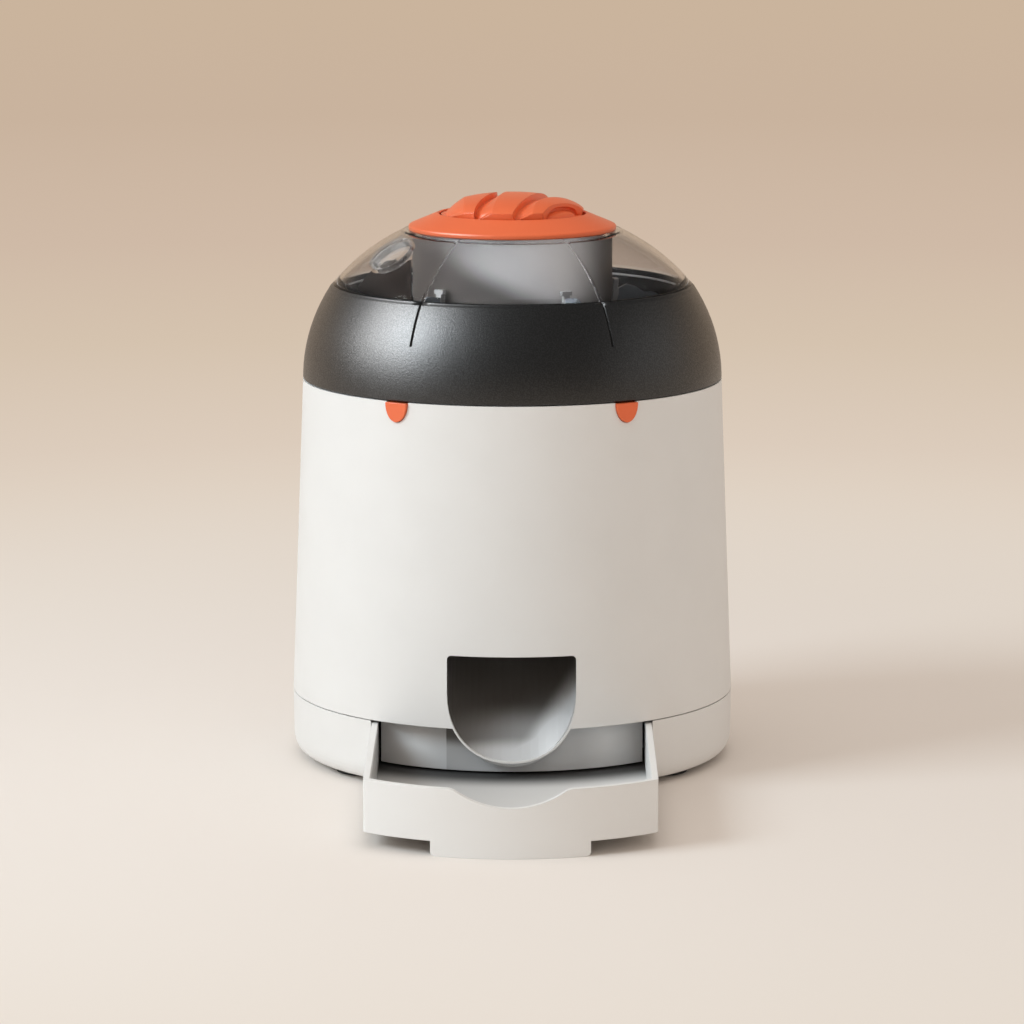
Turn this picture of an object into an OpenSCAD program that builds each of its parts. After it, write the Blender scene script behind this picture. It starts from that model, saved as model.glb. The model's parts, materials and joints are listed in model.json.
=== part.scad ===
// Interactive treat dispenser: a round white body with a domed lid, a ribbed push button,
// a food chute and a pull-out tray. Pressing the button turns a paddle rotor that drops a treat.
// Millimetres, +Z up, ground at z = 0, front towards -Y, origin on the body's axis.

/* [Base] */
// Radius of the body at the seam above the base
base_r = 109; // [105:0.5:114]
// Height of the seam between base and shell
seam_z = 32.9; // [31.5:0.1:40]
// Wall thickness of the base
base_wall = 2.4; // [1.8:0.1:3]
// Thickness of the base floor
floor_t = 2.4; // [1.8:0.1:3]
// Width of the rounded lower edge of the base
edge_w = 4.7; // [2:0.1:6]
// Height of the rounded lower edge of the base
edge_h = 8; // [4:0.5:12]
// Draft of the base wall, as a difference in radius
base_draft = 0.3; // [0:0.1:1]
// Width of the seam groove between base and shell
seam_gap = 0.5; // [0.3:0.1:0.8]
// Radius of the screw posts
post_r = 5; // [4.6:0.1:6]
// Distance of the screw posts in from the base radius
post_inset = 12; // [11:0.5:14]

/* [Feet] */
// Radius of a rubber foot
foot_r = 14; // [10:0.5:15]
// Height of the base above the ground
foot_h = 3; // [2:0.1:4]
// Distance of a foot in from the base radius
foot_inset = 21.9; // [20:0.1:26]
// Angle of a foot from the front
foot_az = 55.8; // [48:0.2:58]
// Depth of the pocket that holds a foot
foot_pocket = 0.6; // [0.4:0.1:1]

/* [Shell] */
// Radius of the shell under the collar
top_r = 103.1; // [100:0.1:106]
// Height of the shell from the seam to the collar
shell_h = 155.1; // [150:0.1:180]
// Wall thickness of the shell
shell_wall = 2.4; // [1.8:0.1:3]
// Depth of the ledge that carries the hopper
ledge_w = 4; // [3:0.1:5]
// Thickness of the ledge that carries the hopper
ledge_t = 2.5; // [2:0.1:3]

/* [Chute] */
// Half width of the chute mouth
mouth_half = 30.7; // [26:0.1:34]
// Top edge of the mouth above the seam
mouth_top = 35.4; // [32:0.1:40]
// Bottom of the mouth below the seam
mouth_drop = 15.1; // [12:0.1:17]
// Height above the seam at which the mouth starts to round in
mouth_bend = 17.1; // [12:0.1:22]
// Fullness of the rounded lower mouth, where 2 is an ellipse
mouth_power = 2.2; // [2:0.1:3]
// Corner radius at the top of the mouth
mouth_corner = 2; // [1:0.1:4]
// Width of the white lip around the mouth
lip_w = 0.9; // [0.6:0.1:1.5]
// Wall thickness of the chute
chute_wall = 1.2; // [1:0.1:1.6]
// Slope of the chute floor in degrees
chute_slope = 45; // [42:1:50]
// Width of the drop duct
duct_w = 40; // [30:0.5:44]
// Height of the chute roof above the seam
roof_h = 57; // [55:0.5:60]
// Height of the neck that carries the drop duct above the roof
neck_h = 6; // [5:0.5:10]
// Wall thickness of the drop duct
duct_wall = 1.6; // [1.2:0.1:2]
// Setback of the apron wall from the base radius
apron_in = 9; // [7:0.5:10]
// Thickness of the apron wall
apron_wall = 2; // [1.4:0.1:3]
// Lower edge of the apron wall above the tray floor
apron_lift = 1; // [0.6:0.1:3]

/* [Tray] */
// Outer width of the tray
tray_w = 134.4; // [120:0.2:135]
// Wall thickness of the tray
tray_wall = 3; // [2:0.1:3.5]
// Floor thickness of the tray
tray_floor = 3; // [2:0.1:3.5]
// Rounding of the tray's front corners
tray_corner = 4; // [2:0.1:6]
// Rounding of the corners inside the tray
tray_inner_corner = 1; // [0.5:0.1:2]
// Underside of the tray above the ground
tray_z = 7; // [6.6:0.1:8]
// Gap between the top of the tray and the seam
tray_top_gap = 1.2; // [0.8:0.1:3]
// Distance that the tray front stands out in front of the base
tray_out = 117.9; // [112:0.1:119]
// Gap left between the tray front and the chute lip when closed
tray_shut_gap = 0.2; // [0.1:0.1:1]
// Distance of the tray rear wall behind the stop
tray_rear = 45; // [42:0.5:48]
// Running gap at the sides of the tray
tray_gap = 0.4; // [0.2:0.1:0.8]
// Half width of the foot under the tray front
toe_half = 36.4; // [25:0.1:45]
// Corner radius of that foot
toe_corner = 2; // [1:0.1:3]
// Depth of the scoop in the tray front
scoop_drop = 8.3; // [4:0.1:12]
// Radius of the scoop in the tray front
scoop_r = 46; // [35:0.5:60]
// Radius of the shoulders beside the scoop
shoulder_r = 8; // [4:0.5:12]

/* [Collar and dome] */
// Height of the collar
collar_h = 46; // [40:0.5:50]
// Height at which the curve of the collar would close
collar_curve = 90; // [86:0.5:100]
// Wall thickness of the collar
collar_wall = 2.4; // [1.8:0.1:3]
// Gap between the shell and the collar
lid_gap = 0.3; // [0.2:0.1:0.6]
// Step from the collar in to the dome
dome_step = 0.6; // [0.3:0.1:1]
// Height at which the curve of the dome would close
dome_curve = 84.4; // [82:0.2:90]
// Wall thickness of the dome
dome_wall = 2.2; // [1.6:0.1:2.8]
// Width of the shelf that shows around the bezel
neck_w = 2.6; // [1.6:0.1:4]
// Thickness of that shelf
shelf_t = 2.2; // [1.6:0.1:3]
// Angle of the two slits from the front
slit_az = 29; // [24:0.5:34]
// Width of a slit
slit_w = 1.3; // [0.8:0.1:2]
// Depth of a slit
slit_depth = 1.2; // [0.6:0.1:1.4]
// Length of a slit below the top of the collar
slit_drop = 20.1; // [12:0.1:26]

/* [Bezel and drum] */
// Width of the clear panel between the bezel and the collar
panel_w = 37.1; // [36:0.1:38]
// Height of the bezel rim
disc_rim = 2.6; // [1.5:0.1:4]
// Rise of the bezel from its rim to the button
disc_rise = 5.6; // [4:0.1:7]
// Thickness of the bezel floor under the button
disc_floor = 1.8; // [1.4:0.1:2.4]
// Setback of the drum from the rim of the bezel
drum_in = 1.9; // [1.7:0.1:4]
// Wall thickness of the drum
drum_wall = 2; // [1.4:0.1:3]
// Height of the drum above the hopper floor
drum_lift = 6.8; // [6.5:0.1:9]

/* [Button] */
// Width of the bezel around the button
bezel_w = 15.4; // [14:0.1:18]
// Gap around the button
knob_gap = 0.5; // [0.3:0.1:0.8]
// Height of the button over the bezel
knob_h = 10.25; // [8:0.05:13]
// Depth of the channels between the ribs
channel_depth = 4.6; // [3:0.1:6]
// Width of the channels between the ribs
channel_w = 8; // [5:0.5:10]
// Travel of the button
knob_travel = 4; // [2:0.1:4.2]
// Radius of the push rod
rod_r = 2.8; // [2:0.1:3]
// Radius of the button spring
knob_spring_r = 10; // [8:0.5:12]

/* [Port cap] */
// Angle of the cap from the front
port_az = -57; // [-62:1:-50]
// Distance of the cap in from the foot of the dome
port_inset = 19; // [17:0.1:21]
// Radius of the cap
cap_r = 11.5; // [9:0.1:12]
// Thickness of the cap flange
cap_t = 1.8; // [1.2:0.1:3]
// Depth of the plug under the flange
plug_depth = 4; // [3:0.1:4.5]
// Height of the grip bar
grip_h = 2.4; // [1.5:0.1:4]

/* [Latches] */
// Angle of a latch from the front
latch_az = 31.8; // [30:0.2:34]
// Width of a latch tab
latch_w = 11.6; // [9:0.1:13]
// Height of a latch tab
latch_h = 9.2; // [8:0.1:10]
// Distance that a tab stands proud of the shell
latch_proud = 1; // [0.6:0.1:1.2]
// Travel of a latch
latch_travel = 1.5; // [1:0.1:1.6]
// Gap around a latch
latch_gap = 0.25; // [0.2:0.05:0.4]

/* [Hopper] */
// Depth of the hopper floor below the collar top
hopper_depth = 33.8; // [32:0.1:36]
// Thickness of the hopper wall and floor
hopper_t = 2.2; // [1.8:0.1:3]
// Distance of the hopper rim in from the top of the collar
hopper_rim_gap = 2.6; // [2.4:0.1:4]
// Width of the hopper rim
hopper_rim_w = 3; // [2:0.1:4]
// Distance of the hopper floor in from the shell radius
hopper_floor_inset = 25.6; // [24.5:0.1:26.5]

/* [Rotor] */
// Number of paddles
paddles = 5; // [4:1:6]
// Angle of the first paddle from the front
paddle_az = -42; // [-50:1:-36]
// Thickness of a paddle
paddle_t = 2.4; // [1.6:0.1:3]
// Gap between the rotor and the hopper
rotor_gap = 0.6; // [0.5:0.1:1]
// Height of the paddle humps above the hopper floor
hump_h = 32; // [26:0.5:33]
// Angle of the stirrer blade from the front
blade_az = -101; // [-105:1:-98]
// Height of the stirrer blade above the hopper floor
blade_h = 44; // [38:0.5:45]
// Thickness of the stirrer blade
blade_t = 2; // [1.4:0.1:3]
// Radius of the rotor shaft
shaft_r = 6; // [5:0.1:6.5]
// Radial clearance between a shaft and its bearing
shaft_fit = 0.06; // [0.02:0.01:0.1]
// Gap between the rod and the hollow shaft
rod_gap = 0.5; // [0.3:0.1:0.8]

/* [Drive] */
// Gear module
gear_m = 1.25; // [1.1:0.05:1.3]
// Teeth of the drive gear
gear_teeth = 48; // [48:4:52]
// Teeth of the pinion
pinion_teeth = 16; // [16:4:20]
// Pressure angle
gear_angle = 20; // [20:1:25]
// Play between the teeth
gear_play = 0.3; // [0.2:0.05:0.4]
// Face width of the gears
gear_w = 6; // [4:0.5:7]
// Distance of the gear deck under the hopper floor
deck_drop = 23.5; // [20:0.5:30]
// Thickness of the gear deck
deck_t = 2.5; // [2:0.1:4]
// Radius of the gear motor's gearbox
gearbox_r = 18; // [15:0.5:19]
// Height of the gearbox
gearbox_h = 22; // [18:0.5:26]
// Radius of the motor can
motor_r = 12; // [10:0.5:14]
// Length of the motor can
motor_l = 30; // [25:0.5:36]
// Radius of the motor shaft
motor_shaft_r = 3; // [2:0.1:3]

/* [Electronics] */
// Width of the circuit board
board_w = 80; // [70:1:90]
// Depth of the circuit board
board_d = 70; // [60:1:76]
// Thickness of the circuit board
board_t = 1.6; // [1:0.1:2]
// Height of the board over the chassis
board_lift = 6; // [5:0.5:8]
// Radius of a battery cell
cell_r = 7.1; // [6:0.1:7.2]
// Length of a battery cell
cell_l = 49.9; // [44:0.1:51]
// Spacing of the cells
cell_pitch = 15; // [14.6:0.1:15.2]
// Wall thickness of the battery box
box_wall = 2; // [1.4:0.1:2.4]
// Thickness of the chassis plate
chassis_t = 2.5; // [2:0.1:4]
// Height of the chassis plate above the seam
chassis_lift = 1.1; // [0.8:0.1:2]

/* [Hidden] */
res = 128;
eps = 0.01;
seat = 0.3;
screw_r = 1.5;
screw_fit = 0.05;
head_r = 3.1;
head_h = 2.4;
lead_r = 0.8;
spring_sides = 6;

CELLS = [1:4];

// Heights of the main levels
base_z = foot_h;
foot_x = (base_r - foot_inset) * sin(foot_az);
foot_y = (base_r - foot_inset) * cos(foot_az);
floor_z = base_z + floor_t;
collar_z = seam_z + shell_h;
collar_top = collar_z + collar_h;
chassis_z = seam_z + chassis_lift;
chassis_top = chassis_z + chassis_t;
hopper_z = collar_top - hopper_depth;
hopper_under = hopper_z - hopper_t;
// Radius that lies outside the whole body, for cuts that run out through its wall
far_r = max(base_r, top_r) + 10;
deck_top = hopper_under - deck_drop;
deck_z = deck_top - deck_t;

// Radius of the shell's outside at a height, on one straight draft
function shell_r(z) = base_r + (top_r - base_r) * (z - seam_z) / shell_h;
function shell_in(z) = shell_r(z) - shell_wall;

// Points of an ellipse arc centred on the axis, from one angle to another
function arc_points(a, b, z0, from, to, n) =
    [for (i = [0:n]) let (t = from + (to - from) * i / n) [a * cos(t), z0 + b * sin(t)]];
// Outer curve of the collar and of the dome, as heights over a radius or radii at a height
function ring_r(a, b, z) = a * sqrt(1 - pow((z - collar_z) / b, 2));
function ring_z(a, b, r) = collar_z + b * sqrt(1 - pow(r / a, 2));

collar_top_r = ring_r(top_r, collar_curve, collar_top);
dome_foot_r = collar_top_r - dome_step;
disc_r = dome_foot_r - panel_w;
neck_r = disc_r + neck_w;
drum_r = disc_r - drum_in;
knob_r = disc_r - bezel_w;
dome_a = dome_foot_r / sqrt(1 - pow(collar_h / dome_curve, 2));
dome_top = ring_z(dome_a, dome_curve, neck_r);
disc_top = dome_top + disc_rim + disc_rise;
hopper_rim_r = collar_top_r - hopper_rim_gap;
hopper_floor_r = top_r - hopper_floor_inset;
drum_z = hopper_z + drum_lift;
port_dist = dome_foot_r - port_inset;

// Mouth and tray
apron_r = base_r - apron_in;
mouth_face = -shell_r(seam_z);
mouth_reach = 20;
lip_depth = 4.6;
tray_top = seam_z - tray_top_gap;
tray_half = tray_w / 2;
tray_bed = tray_z + tray_floor;
tray_travel = tray_out - tray_wall - tray_shut_gap;
bay_half = tray_half + tray_gap;
tray_lug_half = 10;
tray_lug_d = 3;
apron_half = tray_half - tray_wall - 1.2;
duct_back = -(drum_r + 3);
skirt_r = hopper_floor_r + 2.3;
duct_front = duct_wall - sqrt(pow(skirt_r - 2 * seat, 2) - pow(duct_w / 2 + duct_wall, 2));
post_dist = base_r - post_inset;
POSTS = [[post_dist, -75], [post_dist, 75], [post_dist, -150], [post_dist, 150]];

// Button, rod and switch
knob_z = disc_top - 2.4;
knob_top = disc_top + knob_h;
cup_floor = dome_top + disc_floor;
rod_z = deck_z - 4;
switch_top = rod_z - knob_travel - 0.4;

// Gear train
gear_pr = gear_m * gear_teeth / 2;
pinion_pr = gear_m * pinion_teeth / 2;
motor_y = gear_pr + pinion_pr;
gear_z = deck_top + 5.5;

// Deck posts stand clear of the drive gear and the pinion
deck_post_x = gear_pr + 12;
deck_post_y = gear_pr + 4;
deck_half = deck_post_x + 7;

// Battery box behind the chassis, opening to the rear
box_half = 2 * cell_pitch + box_wall + 1;
spring_l = 4.5;
cell_z = chassis_top + box_wall + spring_l;
nub_l = 1.2;
strip_t = 0.4;
boss_h = 10;
box_top = cell_z + cell_l + nub_l + strip_t;
door_screw_z = box_top + box_wall + boss_h / 2;
cell_y = min(shell_in(chassis_top), shell_in(door_screw_z)) - 20;
box_front = cell_y - cell_r - 2.9;
box_back = box_front + cell_r * 2 + 9.8;

// Latch levels, measured along a line out from the axis
latch_top = collar_z - 0.6;
latch_foot = latch_top - latch_h;
latch_curve_top = latch_top - 0.4;
latch_face = max(shell_r(latch_foot), shell_r(collar_z)) + latch_proud;
latch_flange = min(shell_in(latch_foot), shell_in(collar_z)) - 0.4;
latch_mid = latch_foot + 3.5;
latch_back = latch_flange - 2;
bracket_t = 2;
latch_spring_l = 8.3;
bracket_u = latch_back - latch_spring_l - bracket_t;
lug_t = 2;
lug_u = latch_back - latch_travel - lug_t - seat;
flange_z = collar_z - 2.5;

// Full turn of a closed outline around the axis
module turn(points) {
    rotate_extrude($fn = res)
        polygon(points);
}

// Places children at an angle from the front, with local X pointing outwards
module at_front(az, dist = 0, z = 0) {
    rotate([0, 0, az - 90])
        translate([dist, 0, z])
            children();
}

module ring(r_in, r_out, z, h) {
    turn([[r_in, z], [r_out, z], [r_out, z + h], [r_in, z + h]]);
}

module block(x0, x1, y0, y1, z0, z1) {
    translate([x0, y0, z0])
        cube([x1 - x0, y1 - y0, z1 - z0]);
}

module rod(r, z, h) {
    translate([0, 0, z])
        cylinder(r = r, h = h, $fn = 48);
}

// Screw with its head below and its point up
module screw(z_seat, length, r = screw_r, wide = head_r, high = head_h) {
    rod(wide, z_seat - high, high);
    rod(r, z_seat - eps, length + eps);
}

// Round wire of a compression spring, standing on z
module coil(r, wire, z, h, turns) {
    steps = turns * 12;
    rise = h - 2 * wire;
    points = [
        for (i = [0:steps]) let (t = 360 * turns * i / steps, zc = z + wire + rise * i / steps)
            for (k = [0:spring_sides - 1]) let (s = 360 * k / spring_sides)
                [(r + wire * cos(s)) * cos(t), (r + wire * cos(s)) * sin(t), zc + wire * sin(s)]
    ];
    last = steps * spring_sides;
    sides = [
        for (i = [0:steps - 1])
            for (k = [0:spring_sides - 1]) let (n = (k + 1) % spring_sides, a = i * spring_sides)
                [a + k, a + spring_sides + k, a + spring_sides + n, a + n]
    ];
    ends = [[for (k = [0:spring_sides - 1]) k], [for (k = [spring_sides - 1:-1:0]) last + k]];
    polyhedron(points, concat(sides, ends), convexity = 10);
}

// Two insulated wires side by side along a route of straight runs
module leads(points) {
    for (s = [-1, 1])
        translate([s * tag_x, 0, 0])
            for (i = [0:len(points) - 2]) {
                run(points[i], points[i + 1]);
                if (i > 0)
                    translate(points[i])
                        sphere(r = lead_r + 0.1, $fn = 16);
            }
}

module run(p, q) {
    d = q - p;
    flat = norm([d[0], d[1]]);
    translate(p)
        rotate([0, atan2(flat, d[2]), atan2(d[1], d[0])])
            cylinder(r = lead_r, h = norm(d), $fn = 16);
}

// Involute gear outline, worked out from the module and the number of teeth
function inv(a) = tan(a) * 180 / PI - a;
function flank_half(r, rb, half) = half - inv(acos(min(1, rb / r)));
function tooth(teeth, c) = let (
    rp = gear_m * teeth / 2,
    rb = rp * cos(gear_angle),
    tip = rp + 0.9 * gear_m,
    root = rp - 1.2 * gear_m,
    low = max(root, rb),
    half = 90 / teeth - gear_play / rp * 45 / PI + inv(gear_angle),
    radii = [for (i = [0:4]) low + (tip - low) * i / 4]
) concat(
    [root * [cos(c - flank_half(low, rb, half)), sin(c - flank_half(low, rb, half))]],
    [for (r = radii) r * [cos(c - flank_half(r, rb, half)), sin(c - flank_half(r, rb, half))]],
    [for (i = [4:-1:0]) let (r = radii[i]) r * [cos(c + flank_half(r, rb, half)), sin(c + flank_half(r, rb, half))]],
    [root * [cos(c + flank_half(low, rb, half)), sin(c + flank_half(low, rb, half))]]
);

module gear(teeth, turn_deg, bore) {
    linear_extrude(gear_w)
        difference() {
            polygon([for (i = [0:teeth - 1]) each tooth(teeth, turn_deg + 360 * i / teeth)]);
            circle(r = bore, $fn = 48);
        }
}

// Outline of the chute mouth in X and Z, grown outwards by g
function curl(v, n) = sign(v) * pow(abs(v), 2 / n);
function mouth(g) = let (
    a = mouth_half + g,
    bend = seam_z + mouth_bend,
    b = mouth_bend + mouth_drop + g,
    top = seam_z + mouth_top + g,
    c = mouth_corner
) concat(
    [for (i = [0:24]) let (t = 180 + 7.5 * i) [a * curl(cos(t), mouth_power), bend + b * curl(sin(t), mouth_power)]],
    [for (t = [0:22.5:90]) [a - c + c * cos(t), top - c + c * sin(t)]],
    [for (t = [90:22.5:180]) [c - a + c * cos(t), top - c + c * sin(t)]]
);

// The mouth carried straight back, from the front to a depth y
module mouth_block(g, y0, y1) {
    translate([0, y1, 0])
        rotate([90, 0, 0])
            linear_extrude(y1 - y0)
                polygon(mouth(g));
}

// The mouth carried back and up along the slope of the chute
module mouth_slope(g, y0, length) {
    translate([0, y0, 0])
        rotate([90 + chute_slope, 0, 0])
            translate([0, 0, -length])
                linear_extrude(length)
                    polygon([for (p = mouth(g)) [p[0], p[1] * cos(chute_slope)]]);
}

// Hollow of the chute with its walls grown by g: a level lip, a slope and the drop duct above it
module chute_room(g) {
    lip_y = mouth_face + lip_depth;
    reach = 60 / cos(chute_slope);
    mouth_block(g, -far_r, lip_y + eps);
    intersection() {
        mouth_slope(g, lip_y, reach);
        block(-base_r, base_r, -base_r, duct_back + g, 0, duct_room_top + g);
    }
    block(-duct_w / 2 - g, duct_w / 2 + g, duct_front - g, duct_back + g, duct_room_top - 20, duct_joint);
}
duct_room_top = seam_z + roof_h;
duct_joint = duct_room_top + neck_h;

// White lower shell with the tray bay, the screw posts, the tray runners and the tray stop
module base() {
    spigot_r = shell_in(seam_z) - seat;
    color("whitesmoke")
        difference() {
            union() {
                base_wall_and_floor();
                difference() {
                    turn([
                        [base_r - base_wall + 0.3, seam_z - 9],
                        [base_r - base_wall + 0.3, seam_z - seam_gap / 2],
                        [spigot_r, seam_z - seam_gap / 2],
                        [spigot_r, seam_z + 3],
                        [spigot_r - 1.8, seam_z + 3],
                        [spigot_r - 1.8, seam_z - 6.5],
                    ]);
                    block(-bay_half, bay_half, -base_r - 1, 0, 0, seam_z + 4);
                }
                for (p = POSTS)
                    at_front(p[1], p[0])
                        rod(post_r, floor_z - eps, chassis_z - floor_z + eps);
                tray_runners();
            }
            for (p = POSTS)
                at_front(p[1], p[0]) {
                    rod(screw_r + screw_fit, base_z - 1, chassis_z);
                    rod(head_r + 0.3, base_z - 1, floor_z - base_z + 4.6);
                }
            for (sx = [-1, 1])
                for (sy = [-1, 1])
                    translate([sx * foot_x, sy * foot_y, 0])
                        rod(foot_r + seat, base_z - 1, 1 + foot_pocket);
        }
}

module base_wall_and_floor() {
    low_r = base_r - base_draft;
    low = low_r - edge_w;
    difference() {
        turn(concat(
            [[0, base_z], [low, base_z]],
            [for (t = [-75:15:0]) [low + edge_w * cos(t), base_z + edge_h + edge_h * sin(t)]],
            [
                [base_r, seam_z - seam_gap / 2],
                [base_r - base_wall, seam_z - seam_gap / 2],
                [low_r - base_wall, base_z + edge_h],
                [low - base_wall + 1, floor_z],
                [0, floor_z],
            ]
        ));
        intersection() {
            block(-bay_half, bay_half, -base_r - 1, -apron_r / 2, 0, seam_z + 4);
            difference() {
                rod(base_r + 5, 0, seam_z + 4);
                translate([0, 0, -1])
                    cylinder(r = apron_r - 2, h = seam_z + 6, $fn = res);
            }
        }
    }
}

module tray_runners() {
    rail_top = tray_z - seat;
    front = -(apron_r - 30);
    back = tray_travel - tray_rear + 4;
    for (s = [-1, 1]) {
        translate([s * tray_half / 2, 0, 0])
            block(-2, 2, front, back, floor_z - eps, rail_top);
        translate([s * (bay_half + 1), 0, 0])
            block(-1, 1, front, back, floor_z - eps, tray_z + 15);
    }
    stop_y = -tray_rear - tray_lug_d - seat;
    block(-tray_lug_half - 2, tray_lug_half + 2, stop_y - 4, stop_y, floor_z - eps, rail_top);
}

// Rubber foot in its pocket, with a rounded lower edge
module foot(sx, sy) {
    color("#2a2a2c")
        translate([sx * foot_x, sy * foot_y, 0])
            turn([
                [0, 0],
                [foot_r - 1, 0],
                [foot_r - 0.3, 0.3],
                [foot_r, 1],
                [foot_r, base_z + foot_pocket],
                [0, base_z + foot_pocket],
            ]);
}

// White drafted shell with the chute mouth, the latch windows and the battery door opening
module body_shell() {
    low = seam_z + seam_gap / 2;
    high = collar_z - lid_gap;
    ledge_in = shell_in(high) - ledge_w;
    color("whitesmoke")
        difference() {
            union() {
                turn([
                    [shell_r(low), low],
                    [shell_r(high), high],
                    [shell_in(high), high],
                    [shell_in(flange_z), flange_z],
                    [ledge_in, flange_z],
                    [ledge_in, flange_z - ledge_t],
                    [shell_in(flange_z - 7), flange_z - 7],
                    [shell_in(low), low],
                ]);
                lip_tongue();
                for (p = POSTS)
                    at_front(p[1], p[0])
                        shell_boss();
            }
            mouth_block(0, -far_r, mouth_face + mouth_reach);
            for (p = POSTS)
                at_front(p[1], p[0])
                    rod(screw_r + screw_fit, chassis_top - 1, 12);
            for (s = [-1, 1])
                at_front(s * latch_az) {
                    latch_outline(latch_gap, top_r - 8, far_r, collar_z + 1);
                    block(ledge_in - 1, shell_in(flange_z) - 0.1, -9, 9, latch_foot - 1, collar_z + 1);
                }
            door_block(0);
        }
}

// Screw boss joined to the shell by a rib
module shell_boss() {
    rod(4.2, chassis_top, 13);
    block(0, shell_in(chassis_top + 13) - post_dist + 1, -1, 1, chassis_top, chassis_top + 13);
}

// The mouth's white lip, which hangs below the seam
module lip_tongue() {
    intersection() {
        mouth_block(lip_w, -far_r, mouth_face + mouth_reach);
        turn([
            [shell_in(seam_z), seam_z - mouth_drop - 4],
            [shell_r(seam_z), seam_z - mouth_drop - 4],
            [shell_r(seam_z), seam_z],
            [shell_r(seam_z + 5), seam_z + 5],
            [shell_in(seam_z + 5), seam_z + 5],
            [shell_in(seam_z), seam_z],
        ]);
    }
}

// Half ellipse of a latch tab with its tip at the foot, from one distance from the axis to another
module latch_outline(g, u0, u1, top) {
    half = latch_w / 2 + g;
    foot = latch_foot - g;
    high = latch_curve_top - foot;
    step = 90 / 12;
    translate([u0, 0, 0])
        rotate([90, 0, 90])
            linear_extrude(u1 - u0)
                polygon(concat(
                    [for (i = [-12:12]) [half * sin(i * step), foot + high * (1 - cos(i * step))]],
                    [[half, top], [-half, top]]
                ));
}

// Opening of the battery door, made smaller by g on every side
module door_block(g) {
    block(
        -box_half + 1.5 + g, box_half - 1.5 - g,
        box_front, far_r,
        chassis_top + 4 + g, box_top + box_wall + boss_h - g
    );
}

// Plate over the tray bay that carries the chute, the circuit board and the battery box
module chassis() {
    color("dimgray")
        difference() {
            union() {
                rod_plate(shell_in(seam_z) - 5, chassis_z, chassis_t);
                for (p = board_holes())
                    translate(p)
                        rod(3, chassis_top - eps, board_lift + eps);
            }
            intersection() {
                chute_room(chute_wall + seat);
                rod_plate(base_r, chassis_z - 1, chassis_t + 2);
            }
            for (p = POSTS)
                at_front(p[1], p[0])
                    rod(screw_r + seat, chassis_z - 1, chassis_t + 2);
            for (s = [-1, 1])
                at_front(s * apron_boss_az, apron_r - 4.6)
                    rod(screw_r + seat, chassis_z - 1, chassis_t + 2);
            for (p = board_holes())
                translate(p)
                    rod(1.25, chassis_z + 1, board_lift + chassis_t);
        }
}

module rod_plate(r, z, h) {
    translate([0, 0, z])
        cylinder(r = r, h = h, $fn = res);
}

function board_holes() = [
    for (sx = [-1, 1]) for (sy = [-1, 1])
        [sx * (board_w / 2 - 5), board_y + sy * (board_d / 2 - 5), 0]
];
board_y = 7;
board_z = chassis_top + board_lift;

// Grey moulding with the scoop behind the mouth and the apron wall behind the tray
module chute() {
    color("lightgray")
        difference() {
            union() {
                intersection() {
                    chute_room(chute_wall);
                    turn([
                        [0, 0],
                        [shell_in(seam_z) - seat, 0],
                        [shell_in(seam_z) - seat, seam_z],
                        [shell_in(duct_joint) - seat, duct_joint],
                        [0, duct_joint],
                    ]);
                }
                intersection() {
                    ring(apron_r - apron_wall, apron_r, tray_bed + apron_lift, chassis_z - tray_bed - apron_lift);
                    block(-apron_half, apron_half, -base_r, 0, 0, base_r);
                }
                for (s = [-1, 1])
                    at_front(s * apron_boss_az, apron_r - 4.6)
                        rod(4, chassis_z - apron_boss_h, apron_boss_h);
            }
            chute_room(0);
            for (s = [-1, 1])
                at_front(s * apron_boss_az, apron_r - 4.6)
                    rod(screw_r + screw_fit, chassis_z - apron_boss_h + 1, apron_boss_h);
        }
}
apron_boss_az = 29;
apron_boss_h = 9;

// Two screws that hold the chute and its apron under the chassis
module chute_screws() {
    color("silver")
        for (s = [-1, 1])
            at_front(s * apron_boss_az, apron_r - 4.6) {
                rod(head_r, chassis_top, head_h);
                rod(screw_r, chassis_z - apron_boss_h + 2, chassis_t + apron_boss_h - 2 + eps);
            }
}

// Black duct from the hopper outlet down to the chute, sleeved over the chute's neck
module drop_tube() {
    sleeve = chute_wall + 0.2;
    low = duct_room_top + chute_wall + seat;
    color("#303236")
        difference() {
            union() {
                duct_block(duct_wall, duct_joint, hopper_under);
                duct_block(sleeve + duct_wall, low, duct_joint + 2);
            }
            duct_block(0, low - 1, hopper_under + 1);
            duct_block(sleeve, low - 1, duct_joint);
        }
}

module duct_block(g, z0, z1) {
    block(-duct_w / 2 - g, duct_w / 2 + g, duct_front - g, duct_back + g, z0, z1);
}

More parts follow.
